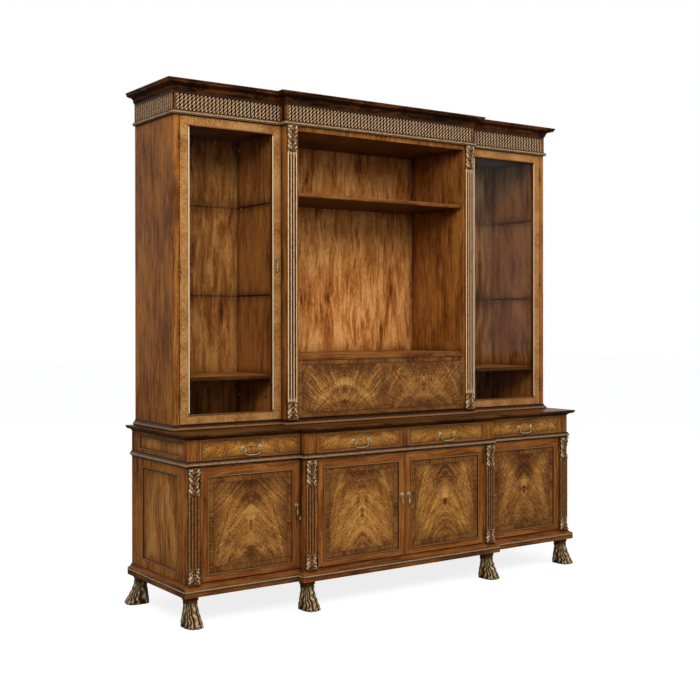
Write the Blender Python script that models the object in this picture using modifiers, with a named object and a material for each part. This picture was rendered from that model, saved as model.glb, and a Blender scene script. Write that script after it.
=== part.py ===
"""A three-bay breakfront television cabinet.

A base of cupboards and drawers on paw feet carries a shallower upper stage: glazed wings, an open
centre bay above a falling flap, fluted pilasters, a carved frieze and a moulded crown.
X runs right along the front, Y to the rear and Z up. The origin is the bottom centre of the whole.
"""

from collections import namedtuple
from math import atan2, copysign, cos, pi, radians, sin, sqrt

import bmesh
import bpy
from mathutils import Matrix, Vector

Plan = namedtuple("Plan", "half_width depth centre_half break_depth")

# Clearances
FIT_GAP = 0.0003
SLIDE_GAP = 0.0005
DOOR_GAP = 0.0010
FRONT_GAP = 0.0015
CUT_OVERRUN = 0.0060
JOIN_SINK = 0.0030

# Heights of the stages, from the floor up
FOOT_HEIGHT = 0.1360
PLINTH_HEIGHT = 0.0540
CUPBOARD_HEIGHT = 0.5180
ROPE_MOULDING_HEIGHT = 0.0270
DRAWER_STAGE_HEIGHT = 0.0960
TABLETOP_THICKNESS = 0.0270
UPPER_MOULDING_HEIGHT = 0.0255
UPPER_STAGE_HEIGHT = 1.4205
FRIEZE_HEIGHT = 0.1064
CROWN_HEIGHT = 0.0496

PLINTH_Z = FOOT_HEIGHT
BASE_Z = PLINTH_Z + PLINTH_HEIGHT
ROPE_Z = BASE_Z + CUPBOARD_HEIGHT
DRAWER_Z = ROPE_Z + ROPE_MOULDING_HEIGHT
TABLETOP_Z = DRAWER_Z + DRAWER_STAGE_HEIGHT
UPPER_Z = TABLETOP_Z + TABLETOP_THICKNESS
UPPER_FLOOR_Z = UPPER_Z + UPPER_MOULDING_HEIGHT
FRIEZE_Z = UPPER_FLOOR_Z + UPPER_STAGE_HEIGHT
CROWN_Z = FRIEZE_Z + FRIEZE_HEIGHT

# Plans: half width, wing depth, half width of the centre and how far it stands forward
BASE = Plan(half_width=1.1834, depth=0.5895, centre_half=0.5925, break_depth=0.0435)
UPPER_END_SETBACK = 0.0182
UPPER_FRONT_SETBACK = 0.1665
UPPER_BREAK_GAIN = 0.0015
UPPER_CENTRE_GAIN = 0.0005
UPPER = Plan(half_width=BASE.half_width - UPPER_END_SETBACK,
             depth=BASE.depth - UPPER_FRONT_SETBACK,
             centre_half=BASE.centre_half + UPPER_CENTRE_GAIN,
             break_depth=BASE.break_depth + UPPER_BREAK_GAIN)
TABLETOP_OVERHANG = 0.0330
TABLETOP_RETURN_OVERHANG = 0.0180
TABLETOP_NECK = 0.0030
PLINTH_PROJECTION = 0.0255
ROPE_PROJECTION = 0.0140
UPPER_MOULDING_PROJECTION = 0.0140
FRIEZE_PROJECTION = 0.0030
FRIEZE_ROPE_PROJECTION = 0.0110
FRIEZE_ROPE_HEIGHT = 0.0180
CROWN_PROJECTION = 0.0460

# Base carcasses
BASE_SIDE = 0.0220
BASE_BACK = 0.0120
BASE_FLOOR = 0.0220
BASE_STILE_DEPTH = 0.0300
CORNER_STILE_WIDTH = 0.0630
BREAK_STILE_WIDTH = 0.0690
RAIL_RISE = 0.0035
TOP_BOARD = 0.0180
DRAWER_DIVIDER = 0.0400
END_PANEL_SINK = 0.0080
END_PANEL_BEVEL = 0.0040
LOWER_PANEL_REAR = 0.1145
LOWER_PANEL_FRONT = 0.4995
LOWER_PANEL_LIFT = 0.0350
LOWER_PANEL_HEIGHT = 0.4450
UPPER_PANEL_REAR = 0.0820
UPPER_PANEL_FRONT = 0.5550
UPPER_PANEL_LIFT = 0.0120
UPPER_PANEL_HEIGHT = 0.0720
CUPBOARD_SHELF = 0.0180
CUPBOARD_SHELF_LIFT = 0.2500
CUPBOARD_SHELF_SETBACK = 0.0900

# Upper carcasses
UPPER_SIDE = 0.0270
UPPER_PARTITION = 0.0190
UPPER_BACK = 0.0180
UPPER_TOP = 0.0240
UPPER_STILE_WIDTH = 0.0680
UPPER_STILE_DEPTH = 0.0500
UPPER_LINING = 0.0200
WING_SHELF = 0.0200
WING_SHELF_LIFT = 0.2165
TV_SHELF = 0.0260
TV_SHELF_LIFT = 0.3110
DISPLAY_SHELF = 0.0200
DISPLAY_SHELF_LIFT = 1.1025
DISPLAY_SHELF_SETBACK = 0.0200
GLASS_SHELF = 0.0080
GLASS_SHELF_LIFTS = (0.5990, 1.0485)
GLASS_SHELF_SETBACK = 0.0160
PIN_RADIUS = 0.0030
PIN_LENGTH = 0.0100
PIN_INSET = 0.0500

# Base doors
DOOR_THICKNESS = 0.0220
WING_FRONT_REVEAL = 0.0035
DOOR_BOTTOM_REVEAL = 0.0030
DOOR_TOP_REVEAL = 0.0050
MEETING_GAP = 0.0020
BEAD_SIDE_MARGIN = 0.0335
BEAD_TOP_MARGIN = 0.0370
BEAD_BOTTOM_MARGIN = 0.0270
BEAD_WIDTH = 0.0070
BEAD_RISE = 0.0030
FIELD_SINK = 0.0030

# Drawers
DRAWER_FRONT_THICKNESS = 0.0200
DRAWER_FRONT_LIFT = 0.0010
DRAWER_FRONT_DROP = 0.0025
DRAWER_WALL = 0.0100
DRAWER_BOTTOM = 0.0070
DRAWER_BOX_HEIGHT = 0.0680
DRAWER_BACK_CLEARANCE = 0.0500
COCKBEAD_WIDTH = 0.0030
COCKBEAD_RISE = 0.0018

# Glazed doors and the flap
GLAZED_STILE = 0.0490
GLAZED_TOP_RAIL = 0.0450
GLAZED_BOTTOM_RAIL = 0.0430
GLAZED_TOP_REVEAL = 0.0020
GLAZING_BEAD_WIDTH = 0.0055
GLAZING_BEAD_RISE = 0.0020
PANE_THICKNESS = 0.0040
PANE_REBATE = 0.0060
FLAP_THICKNESS = 0.0200
FLAP_PIN_RADIUS = 0.0025
FLAP_PIN_LENGTH = 0.0060

# Butt hinges
KNUCKLE_RADIUS = 0.0030
KNUCKLE_PROUD = 0.0030
LEAF_NEAR = 0.0003
LEAF_FAR = 0.0027
LEAF_REACH = 0.0150
BASE_HINGE_LENGTH = 0.0620
BASE_HINGE_BOTTOM_LIFT = 0.0180
BASE_HINGE_TOP_DROP = 0.0270
GLAZED_HINGE_LENGTH = 0.0700
GLAZED_HINGE_LIFT = 0.0790
GLAZED_HINGE_DROP = 0.0805

# Brass pulls, bails and keys
ROSETTE_RADIUS = 0.0125
ROSETTE_RISE = 0.0030
ROSETTE_CROWN_RADIUS = 0.0075
ROSETTE_SINK = 0.0030
POST_RADIUS = 0.0020
POST_REACH = 0.0100
BALL_RADIUS = 0.0034
PULL_SETBACK = 0.0165
CENTRE_PULL_SETBACK = 0.0205
BASE_PULL_LIFT = 0.3010
GLAZED_PULL_LIFT = 0.7755
GLAZED_PULL_SETBACK = 0.0270
DROP_LENGTH = 0.0500
GLAZED_DROP_LENGTH = 0.0650
DROP_RADIUS = 0.0045
PIVOT_GAP = 0.0004
BAIL_SPREAD = 0.0920
BAIL_DROP = 0.0330
BAIL_WIRE_RADIUS = 0.0022
BAIL_LIFT = 0.0450
KEY_DROP = 0.0585
KEY_SHANK_RADIUS = 0.0022
KEY_HOLE_RADIUS = 0.0030
KEY_HOLE_DEPTH = 0.0120
KEY_INSERTION = 0.0100
KEY_REACH = 0.0230
KEY_BOW_RADIUS = 0.0070
KEY_BOW_WIRE_RADIUS = 0.0017

# Pilasters
PILASTER_WIDTH = 0.0600
PILASTER_PROJECTION = 0.0100
SHAFT_REVEAL = 0.0006
FLUTE_WIDTH = 0.0110
FLUTE_DEPTH = 0.0035
BASE_BRACKET_HEIGHT = 0.1250
BASE_BRACKET_PROJECTION = 0.0210
BASE_CARVED_FOOT_HEIGHT = 0.0700
BASE_CARVED_FOOT_FLARE = 0.0170
UPPER_BRACKET_HEIGHT = 0.1290
UPPER_BRACKET_PROJECTION = 0.0230
UPPER_CARVED_FOOT_HEIGHT = 0.0900
UPPER_CARVED_FOOT_FLARE = 0.0190
LEAF_VALLEY_DEPTH = 0.0020

# Paw feet
FOOT_BLOCK_WIDTH = 0.0560
FOOT_BLOCK_HEIGHT = 0.0260
PAW_WIDTH = 0.0740
TOE_REACH = 0.0500
HEEL_INSET = 0.0200
REAR_FOOT_INSET = 0.0150
TOE_CLEFT_DEPTH = 0.0060
PLINTH_RAIL = 0.0800
FRIEZE_BOARD = 0.0200
CROWN_RIM = 0.0350
CROWN_BOARD = 0.0150

# Counts
FLUTE_COUNT = 3
FLUTE_STEPS = 4
LEAF_RIDGES = 4
PAW_POINTS = 16
TURNED_STEPS = 8
BOW_STEPS = 12
KNUCKLE_STEPS = 6
PIN_SIDES = 6
ARC_STEPS = 3

# Shares of a moulding's projection and height, walking up its face
PLINTH_SHARES = ((0.92, 0.0), (0.92, 0.34), (0.97, 0.38), (1.0, 0.48), (0.97, 0.58), (0.90, 0.63),
                 (0.80, 0.65), (0.42, 0.76), (0.18, 0.90), (0.08, 1.0))
ROPE_SHARES = ((0.30, 0.0), (0.30, 0.14), (0.72, 0.20), (1.0, 0.38), (1.0, 0.62), (0.72, 0.80),
               (0.30, 0.86), (0.30, 1.0))
TABLETOP_SHARES = ((0.0, 0.0), (0.06, 0.16), (0.30, 0.30), (0.62, 0.40), (0.84, 0.52), (0.90, 0.68),
                   (0.96, 0.72), (1.0, 0.80), (1.0, 1.0))
UPPER_MOULDING_SHARES = ((0.86, 0.0), (1.0, 0.12), (1.0, 0.34), (0.84, 0.48), (0.52, 0.58),
                         (0.30, 0.74), (0.22, 1.0))
FRIEZE_ROPE_SHARES = ((0.10, 0.0), (0.72, 0.12), (1.0, 0.36), (1.0, 0.64), (0.72, 0.88), (0.0, 1.0))
CROWN_LOW_SHARES = ((0.05, 0.0), (0.05, 0.10), (0.13, 0.12), (0.16, 0.18), (0.13, 0.24))
CROWN_LIP_SHARES = ((0.94, 0.84), (1.0, 0.86), (1.0, 1.0))
CROWN_COVE_SHARES = ((0.17, 0.27), (0.60, 0.58))
CROWN_OVOLO_SHARES = ((0.66, 0.60), (0.92, 0.80))

# Shares of a carved block's height and of its extra projection, walking up
BRACKET_SHARES = ((0.0, 0.10), (0.07, 0.42), (0.16, 0.50), (0.27, 0.22), (0.45, 0.20), (0.68, 0.52),
                  (0.86, 0.94), (0.95, 1.0), (1.0, 0.96))
CARVED_FOOT_SHARES = ((0.0, 0.80), (0.07, 1.0), (0.20, 0.88), (0.42, 0.46), (0.66, 0.20), (0.86, 0.22),
                      (1.0, 0.06))

# How square a paw's rings are
PAW_ROUNDING_SHARE = 0.75

# Shares of a paw's height, spread, toe reach, heel inset and toe cleft, walking down
PAW_SHARES = (
    (1.0, -0.30, -0.06, 0.05, 0.0),
    (0.82, 0.02, 0.08, 0.15, 0.2),
    (0.62, 0.36, 0.26, 0.35, 0.4),
    (0.44, 0.74, 0.52, 0.65, 0.7),
    (0.28, 1.0, 0.84, 0.92, 1.0),
    (0.14, 1.0, 1.0, 1.0, 1.0),
    (0.04, 0.94, 0.97, 0.95, 1.0),
    (0.0, 0.80, 0.88, 0.85, 0.8),
)

# Shares of a drop's length and radius, walking down
DROP_SHARES = ((0.0, 0.0), (0.0, 0.62), (0.08, 0.70), (0.16, 0.36), (0.55, 0.62), (0.72, 0.98),
               (0.80, 0.42), (0.90, 0.74), (1.0, 0.0))
# Shares of a bail's half spread and drop, from its pivot to the middle of the grip
BAIL_SHARES = ((0.80, 0.02), (0.74, 0.22), (0.80, 0.46), (0.84, 0.68), (0.72, 0.90), (0.40, 0.98),
               (0.0, 1.0))

OVERALL_DEPTH = BASE.depth + BASE.break_depth + TOE_REACH
ORIGIN = Vector((0.0, 0.0, 0.0))
SEATS = {}
LEFT = -1
RIGHT = 1
SIDE_NAMES = {LEFT: "left", RIGHT: "right"}

FINISHES = {
    "walnut": ((0.20, 0.085, 0.035), 0.32, 0.0),
    "dark_walnut": ((0.075, 0.032, 0.016), 0.35, 0.0),
    "crotch_veneer": ((0.25, 0.10, 0.040), 0.22, 0.0),
    "crossband_veneer": ((0.36, 0.17, 0.065), 0.25, 0.0),
    "carved_walnut": ((0.14, 0.065, 0.030), 0.40, 0.0),
    "drawer_lining": ((0.42, 0.27, 0.14), 0.60, 0.0),
    "antique_brass": ((0.52, 0.36, 0.13), 0.32, 1.0),
    "clear_glass": ((0.85, 0.92, 0.90), 0.03, 0.0),
}


def clear_scene():
    """Remove what the file opened with."""
    for thing in list(bpy.data.objects):
        bpy.data.objects.remove(thing, do_unlink=True)


def new_collection(name):
    """Make a collection under the scene."""
    group = bpy.data.collections.new(name)
    bpy.context.scene.collection.children.link(group)
    return group


def finish_material(name):
    """Make, or fetch, the Principled material of one finish."""
    if name in bpy.data.materials:
        return bpy.data.materials[name]
    colour, roughness, metallic = FINISHES[name]
    material = bpy.data.materials.new(name)
    material.use_nodes = True
    shader = material.node_tree.nodes["Principled BSDF"]
    shader.inputs["Base Color"].default_value = (*colour, 1.0)
    shader.inputs["Roughness"].default_value = roughness
    shader.inputs["Metallic"].default_value = metallic
    if name == "clear_glass":
        shader.inputs["Transmission Weight"].default_value = 1.0
    material.diffuse_color = (*colour, 1.0)
    return material


def add_piece(name, shape, finish, at=ORIGIN, parent=None, turn=0.0):
    """Make a named object of a bmesh in cabinet coordinates, with its origin at the given point."""
    seat = Vector(at)
    bmesh.ops.translate(shape, verts=shape.verts, vec=-seat)
    bmesh.ops.recalc_face_normals(shape, faces=shape.faces)
    mesh = bpy.data.meshes.new(name)
    shape.to_mesh(mesh)
    shape.free()
    piece = bpy.data.objects.new(name, mesh)
    return seat_piece(piece, finish, seat, parent, turn)


def seat_piece(piece, finish, seat, parent=None, turn=0.0):
    """Link an object, give it its finish, and place it under its parent."""
    PARTS.objects.link(piece)
    piece.data.materials.append(finish_material(finish))
    carrier = parent or CABINET
    SEATS[piece.name] = seat
    piece.parent = carrier
    piece.location = seat - SEATS[carrier.name]
    piece.rotation_euler.z = turn
    return piece


def combine(piece, label, shape, operation):
    """Cut or join a bmesh in cabinet coordinates with a Boolean modifier."""
    bmesh.ops.translate(shape, verts=shape.verts, vec=-SEATS[piece.name])
    bmesh.ops.recalc_face_normals(shape, faces=shape.faces)
    mesh = bpy.data.meshes.new(piece.name + "_" + label)
    shape.to_mesh(mesh)
    shape.free()
    tool = bpy.data.objects.new(mesh.name, mesh)
    TOOLS.objects.link(tool)
    tool.parent = piece
    tool.hide_render = True
    tool.display_type = "WIRE"
    boolean = piece.modifiers.new(label, "BOOLEAN")
    boolean.operation = operation
    boolean.object = tool
    boolean.solver = "EXACT"


def cut(piece, label, shape):
    """Take a shape away from a piece."""
    combine(piece, label, shape, "DIFFERENCE")


def join(piece, label, shape):
    """Fuse a shape with a piece."""
    combine(piece, label, shape, "UNION")


def box(x, y, z, shape=None):
    """A box between the low and high values of three spans, in either order."""
    shape = shape or bmesh.new()
    made = bmesh.ops.create_cube(shape, size=1.0)["verts"]
    low = Vector((min(x), min(y), min(z)))
    high = Vector((max(x), max(y), max(z)))
    bmesh.ops.scale(shape, verts=made, vec=high - low)
    bmesh.ops.translate(shape, verts=made, vec=(low + high) / 2)
    return shape


def loft(sections, shape=None):
    """Extrude the first section's face through all the others, point for point."""
    shape = shape or bmesh.new()
    face = shape.faces.new([shape.verts.new(point) for point in sections[0]])
    places = [Vector(point) for point in sections[0]]
    for number, section in enumerate(sections[1:]):
        made = bmesh.ops.extrude_face_region(shape, geom=[face])["geom"]
        if number:
            shape.faces.remove(face)
        face = next(item for item in made if isinstance(item, bmesh.types.BMFace))
        for vertex in list(face.verts):
            index = min(range(len(places)), key=lambda i: (places[i] - vertex.co).length)
            vertex.co = section[index]
        places = [Vector(point) for point in section]
    return shape


def prism(outline, axis, start, end, shape=None):
    """Extrude a flat outline along X, Y or Z."""
    lay = {
        "X": lambda point, level: (level, point[0], point[1]),
        "Y": lambda point, level: (point[0], level, point[1]),
        "Z": lambda point, level: (point[0], point[1], level),
    }[axis]
    return loft([[lay(point, level) for point in outline] for level in (start, end)], shape)


def turned(profile, centre, axis, steps, shape=None):
    """Spin a profile of (radius, distance along the axis) points about an axis through a centre."""
    shape = shape or bmesh.new()
    direction = Vector(axis)
    across = Vector((1.0, 0.0, 0.0)) if abs(direction.x) < abs(direction.y) + abs(direction.z) \
        else Vector((0.0, 0.0, 1.0))
    points = [shape.verts.new(centre + across * radius + direction * along) for radius, along in profile]
    edges = [shape.edges.new(pair) for pair in zip(points, points[1:])]
    before = set(shape.verts)
    bmesh.ops.spin(shape, geom=points + edges, cent=centre, axis=direction, angle=2 * pi, steps=steps)
    made = [v for v in shape.verts if v not in before] + points
    bmesh.ops.remove_doubles(shape, verts=made, dist=FIT_GAP / 10)
    return shape


def cylinder(centre, axis, radius, length, sides, shape=None):
    """A closed cylinder centred on a point along X, Y or Z."""
    shape = shape or bmesh.new()
    turn = {"X": Matrix.Rotation(pi / 2, 4, "Y"), "Y": Matrix.Rotation(pi / 2, 4, "X"),
            "Z": Matrix.Identity(4)}[axis]
    bmesh.ops.create_cone(shape, cap_ends=True, segments=sides, radius1=radius, radius2=radius,
                          depth=length, matrix=Matrix.Translation(centre) @ turn)
    return shape


def grown(plan, amount):
    """A plan stepped outward by one amount at its ends, front and breaks."""
    return Plan(plan.half_width + amount, plan.depth + amount, plan.centre_half + amount,
                plan.break_depth)


def between(inner, outer, share):
    """The plan that lies a share of the way from one plan to another."""
    return Plan(*(a + (b - a) * share for a, b in zip(inner, outer)))


def breakfront(plan, rear=0.0):
    """The eight corners of a breakfront plan, from the rear left corner round the front."""
    front = -plan.depth
    forward = front - plan.break_depth
    half = [(plan.centre_half, forward), (plan.centre_half, front), (plan.half_width, front),
            (plan.half_width, rear)]
    return [(-x, y) for x, y in reversed(half)] + half


def moulding(inner, outer, low, height, shares, shape=None):
    """A mitred moulding round a breakfront, with a flat back at the rear."""
    sections = []
    for out, up in shares:
        plan = breakfront(between(inner, outer, out))
        sections.append([(x, y, low + height * up) for x, y in plan])
    return loft(sections, shape)


def cove(start, end, steps):
    """Points of a hollow quarter curve between two points."""
    angles = [pi / 2 * step / steps for step in range(steps + 1)]
    return [(start[0] + (end[0] - start[0]) * (1 - cos(a)), start[1] + (end[1] - start[1]) * sin(a))
            for a in angles]


def ovolo(start, end, steps):
    """Points of a swelling quarter curve between two points."""
    angles = [pi / 2 * step / steps for step in range(steps + 1)]
    return [(start[0] + (end[0] - start[0]) * sin(a), start[1] + (end[1] - start[1]) * (1 - cos(a)))
            for a in angles]


def rectangle(x, z, y, inset_x=0.0, inset_low=0.0, inset_high=0.0):
    """The corners of an upright rectangle at one depth, inset from its spans."""
    x0, x1 = min(x) + inset_x, max(x) - inset_x
    z0, z1 = z[0] + inset_low, z[1] - inset_high
    return [(x0, y, z0), (x1, y, z0), (x1, y, z1), (x0, y, z1)]


def hinge_outline(axis, opening_side):
    """Plan of a knuckle with its leaf, which runs back on the side of the piece that carries it."""
    near = sqrt(KNUCKLE_RADIUS ** 2 - LEAF_NEAR ** 2)
    far = sqrt(KNUCKLE_RADIUS ** 2 - LEAF_FAR ** 2)
    start = atan2(near, -LEAF_NEAR)
    end = atan2(far, -LEAF_FAR) - 2 * pi
    points = [(-LEAF_NEAR, LEAF_REACH)]
    for step in range(KNUCKLE_STEPS + 1):
        angle = start + (end - start) * step / KNUCKLE_STEPS
        points.append((KNUCKLE_RADIUS * cos(angle), KNUCKLE_RADIUS * sin(angle)))
    points.append((-LEAF_FAR, LEAF_REACH))
    return [(axis[0] + opening_side * -x, axis[1] + y) for x, y in points]


def knuckles(axis, side, low, length, on_door):
    """The knuckles of one butt hinge: the middle one is the door's, the outer two the carcass's."""
    third = length / 3
    outline = hinge_outline(axis, -side if on_door else side)
    if on_door:
        return prism(outline, "Z", low + third, low + 2 * third)
    shape = prism(outline, "Z", low, low + third - FIT_GAP)
    return prism(outline, "Z", low + 2 * third + FIT_GAP, low + length, shape)


def rosette(centre, reach):
    """A round back plate with a post, and a ball on the post that the drop or bail hangs from."""
    throat = sqrt(BALL_RADIUS ** 2 - POST_RADIUS ** 2)
    profile = [(0.0, -ROSETTE_SINK), (ROSETTE_RADIUS, -ROSETTE_SINK), (ROSETTE_RADIUS, ROSETTE_RISE / 2),
               (ROSETTE_CROWN_RADIUS, ROSETTE_RISE), (POST_RADIUS, ROSETTE_RISE),
               (POST_RADIUS, reach - throat), (BALL_RADIUS, reach), (0.0, reach + BALL_RADIUS)]
    return turned(profile, Vector(centre), (0.0, -1.0, 0.0), TURNED_STEPS)


def drop_pull(name, pivot, length, parent):
    """A turned drop that hangs from a rosette's ball and swings outward."""
    start = BALL_RADIUS + PIVOT_GAP
    points = [(DROP_RADIUS * out, 0.0, -start - (length - start) * down) for down, out in DROP_SHARES]
    mesh = bpy.data.meshes.new(name)
    mesh.from_pydata(points, [(i, i + 1) for i in range(len(points) - 1)], [])
    drop = bpy.data.objects.new(name, mesh)
    turn = drop.modifiers.new("turned", "SCREW")
    turn.axis = "Z"
    turn.steps = TURNED_STEPS
    turn.render_steps = TURNED_STEPS
    turn.use_merge_vertices = True
    turn.merge_threshold = FIT_GAP / 10
    return seat_piece(drop, "antique_brass", Vector(pivot), parent)


def drawer_bail(name, pivot, parent):
    """A swan-neck bail hung between the balls of two rosettes."""
    half = BAIL_SPREAD / 2
    side = [(half - BALL_RADIUS - PIVOT_GAP, 0.0)]
    side += [(half * out, -BAIL_DROP * down) for out, down in BAIL_SHARES]
    path = [(-x, z) for x, z in side] + [(x, z) for x, z in reversed(side[:-1])]
    curve = bpy.data.curves.new(name, "CURVE")
    curve.dimensions = "3D"
    curve.bevel_depth = BAIL_WIRE_RADIUS
    curve.bevel_resolution = 1
    curve.use_fill_caps = True
    wire = curve.splines.new("POLY")
    wire.points.add(len(path) - 1)
    for point, (x, z) in zip(wire.points, path):
        point.co = (x, 0.0, z, 1.0)
    bail = bpy.data.objects.new(name, curve)
    return seat_piece(bail, "antique_brass", Vector(pivot), parent)


def lock_key(name, mouth, parent):
    """A key in its keyhole: a shank with a ring bow at its outer end."""
    x, face, z = mouth
    inner = face + KEY_INSERTION
    outer = face - KEY_REACH
    middle = (x, (inner + outer) / 2, z)
    shape = cylinder(Vector(middle), "Y", KEY_SHANK_RADIUS, inner - outer, TURNED_STEPS)
    key = add_piece(name, shape, "antique_brass", at=mouth, parent=parent)
    ring_centre = Vector((x, outer - KEY_BOW_RADIUS + JOIN_SINK / 2, z))
    wire = [(KEY_BOW_RADIUS + KEY_BOW_WIRE_RADIUS * cos(a), KEY_BOW_WIRE_RADIUS * sin(a))
            for a in (2 * pi * step / KNUCKLE_STEPS for step in range(KNUCKLE_STEPS + 1))]
    ring = bmesh.new()
    points = [ring.verts.new(ring_centre + Vector((along, radius, 0.0))) for radius, along in wire[:-1]]
    edges = [ring.edges.new((points[i - 1], points[i])) for i in range(len(points))]
    bmesh.ops.spin(ring, geom=points + edges, cent=ring_centre, axis=(1.0, 0.0, 0.0), angle=2 * pi,
                   steps=BOW_STEPS)
    bmesh.ops.remove_doubles(ring, verts=ring.verts, dist=FIT_GAP / 10)
    join(key, "bow", ring)
    return key


def shelf_pins(case, label, x_faces, y_ends, shelf_bottoms):
    """Brass pins under a shelf's four corners, let into the boards on each side of it."""
    pins = bmesh.new()
    for bottom in shelf_bottoms:
        for x, inward in x_faces:
            for y in (y_ends[0] - PIN_INSET, y_ends[1] + PIN_INSET):
                centre = Vector((x + inward * (PIN_LENGTH / 2 - JOIN_SINK), y,
                                 bottom - FIT_GAP - PIN_RADIUS))
                cylinder(centre, "X", PIN_RADIUS, PIN_LENGTH, PIN_SIDES, pins)
    join(case, label, pins)


def panel_sink(case, side, label, y_near, y_far, low, height):
    """A sunk panel with bevelled sides in a carcass end."""
    face = side * BASE.half_width
    sink = side * END_PANEL_SINK
    outer = [(-y_near, low), (-y_near, low + height), (-y_far, low + height), (-y_far, low)]
    inset = END_PANEL_BEVEL
    inner = [(-y_near - inset, low + inset), (-y_near - inset, low + height - inset),
             (-y_far + inset, low + height - inset), (-y_far + inset, low + inset)]
    sections = [[(face + side * CUT_OVERRUN, y, z) for y, z in outer],
                [(face, y, z) for y, z in outer], [(face - sink, y, z) for y, z in inner]]
    cut(case, label, loft(sections))


def base_case(side):
    """A wing carcass of the base, or the centre one when the side is zero."""
    centre = side == 0
    name = "base_case_centre" if centre else "base_case_" + SIDE_NAMES[side]
    front = -BASE.depth - (BASE.break_depth if centre else 0.0)
    top = TABLETOP_Z - FIT_GAP
    low = BASE_Z
    if centre:
        outside = (-BASE.centre_half, BASE.centre_half)
        stile_edge = BASE.centre_half - BREAK_STILE_WIDTH
        inside = (-BASE.centre_half + BASE_SIDE, BASE.centre_half - BASE_SIDE)
        opening = (-stile_edge, stile_edge)
        front_recess = opening
        pockets = [(-stile_edge, -DRAWER_DIVIDER / 2), (DRAWER_DIVIDER / 2, stile_edge)]
        recess_spans = pockets
    else:
        outside = (side * (BASE.centre_half + FIT_GAP), side * BASE.half_width)
        stile_edge = BASE.half_width - CORNER_STILE_WIDTH
        wall = side * (BASE.centre_half + FIT_GAP + BASE_SIDE)
        inside = (wall, side * (BASE.half_width - BASE_SIDE))
        opening = (wall, side * stile_edge)
        front_recess = (side * (BASE.centre_half + FIT_GAP - CUT_OVERRUN), side * stile_edge)
        pockets = [opening]
        recess_spans = [front_recess]
    case = add_piece(name, box(outside, (0.0, front), (low, top)), "walnut")
    rail_low = ROPE_Z - RAIL_RISE
    rail_high = DRAWER_Z
    behind_doors = front + DOOR_THICKNESS + FRONT_GAP
    behind_drawers = front + DRAWER_FRONT_THICKNESS + FRONT_GAP
    outward = front - CUT_OVERRUN
    cut(case, "door_recess", box(front_recess, (behind_doors, outward), (low - CUT_OVERRUN, rail_low)))
    cavity_low = low + BASE_FLOOR
    behind_stile = front + BASE_STILE_DEPTH
    cavity_high = rail_low
    cut(case, "cupboard", box(inside, (-BASE_BACK, behind_stile), (cavity_low, cavity_high)))
    cut(case, "cupboard_mouth", box(opening, (behind_stile + CUT_OVERRUN, outward),
                                    (cavity_low, cavity_high)))
    for number, (pocket, recess) in enumerate(zip(pockets, recess_spans)):
        cut(case, f"drawer_recess_{number}", box(recess, (behind_drawers, outward),
                                                 (rail_high, top + CUT_OVERRUN)))
        cut(case, f"drawer_pocket_{number}", box(pocket, (-BASE_BACK, behind_drawers - CUT_OVERRUN),
                                                 (rail_high, top - TOP_BOARD)))
    for sign in ((LEFT, RIGHT) if centre else (side,)):
        axis = door_axis(stile_edge * sign, sign, front)
        for number, lift in enumerate(base_hinge_lows()):
            hinge = knuckles(axis, sign, lift, BASE_HINGE_LENGTH, on_door=False)
            join(case, f"hinge_{SIDE_NAMES[sign]}_{number}", hinge)
    shelf_bottom = BASE_Z + CUPBOARD_SHELF_LIFT
    faces = [(min(inside), 1), (max(inside), -1)]
    rear_and_front = (-BASE_BACK, front + CUPBOARD_SHELF_SETBACK)
    shelf_pins(case, "shelf_pins", faces, rear_and_front, [shelf_bottom])
    if not centre:
        panel_sink(case, side, "lower_panel", LOWER_PANEL_REAR, LOWER_PANEL_FRONT,
                   BASE_Z + LOWER_PANEL_LIFT, LOWER_PANEL_HEIGHT)
        panel_sink(case, side, "upper_panel", UPPER_PANEL_REAR, UPPER_PANEL_FRONT,
                   DRAWER_Z + UPPER_PANEL_LIFT, UPPER_PANEL_HEIGHT)
    shelf_span = (min(inside) + SLIDE_GAP, max(inside) - SLIDE_GAP)
    shelf_name = "cupboard_shelf_" + ("centre" if centre else SIDE_NAMES[side])
    shelf = box(shelf_span, (-BASE_BACK - SLIDE_GAP, front + CUPBOARD_SHELF_SETBACK),
                (shelf_bottom, shelf_bottom + CUPBOARD_SHELF))
    add_piece(shelf_name, shelf, "drawer_lining",
              at=(sum(shelf_span) / 2, -BASE_BACK - SLIDE_GAP, shelf_bottom))


def door_axis(stile_edge, side, front):
    """The place of a hinge pin beside a stile, just proud of the front."""
    return (stile_edge - side * DOOR_GAP, front - KNUCKLE_PROUD)


def base_hinge_lows():
    """The lower ends of a base door's two hinges."""
    lower = BASE_Z + DOOR_BOTTOM_REVEAL + BASE_HINGE_BOTTOM_LIFT
    upper = ROPE_Z - DOOR_TOP_REVEAL - BASE_HINGE_TOP_DROP - BASE_HINGE_LENGTH
    return (lower, upper)


def glazed_hinge_lows():
    """The lower ends of a glazed door's three hinges: foot, middle and head."""
    lower = UPPER_FLOOR_Z + GLAZED_HINGE_LIFT
    upper = FRIEZE_Z - GLAZED_HINGE_DROP - GLAZED_HINGE_LENGTH
    return (lower, (lower + upper) / 2, upper)


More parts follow.
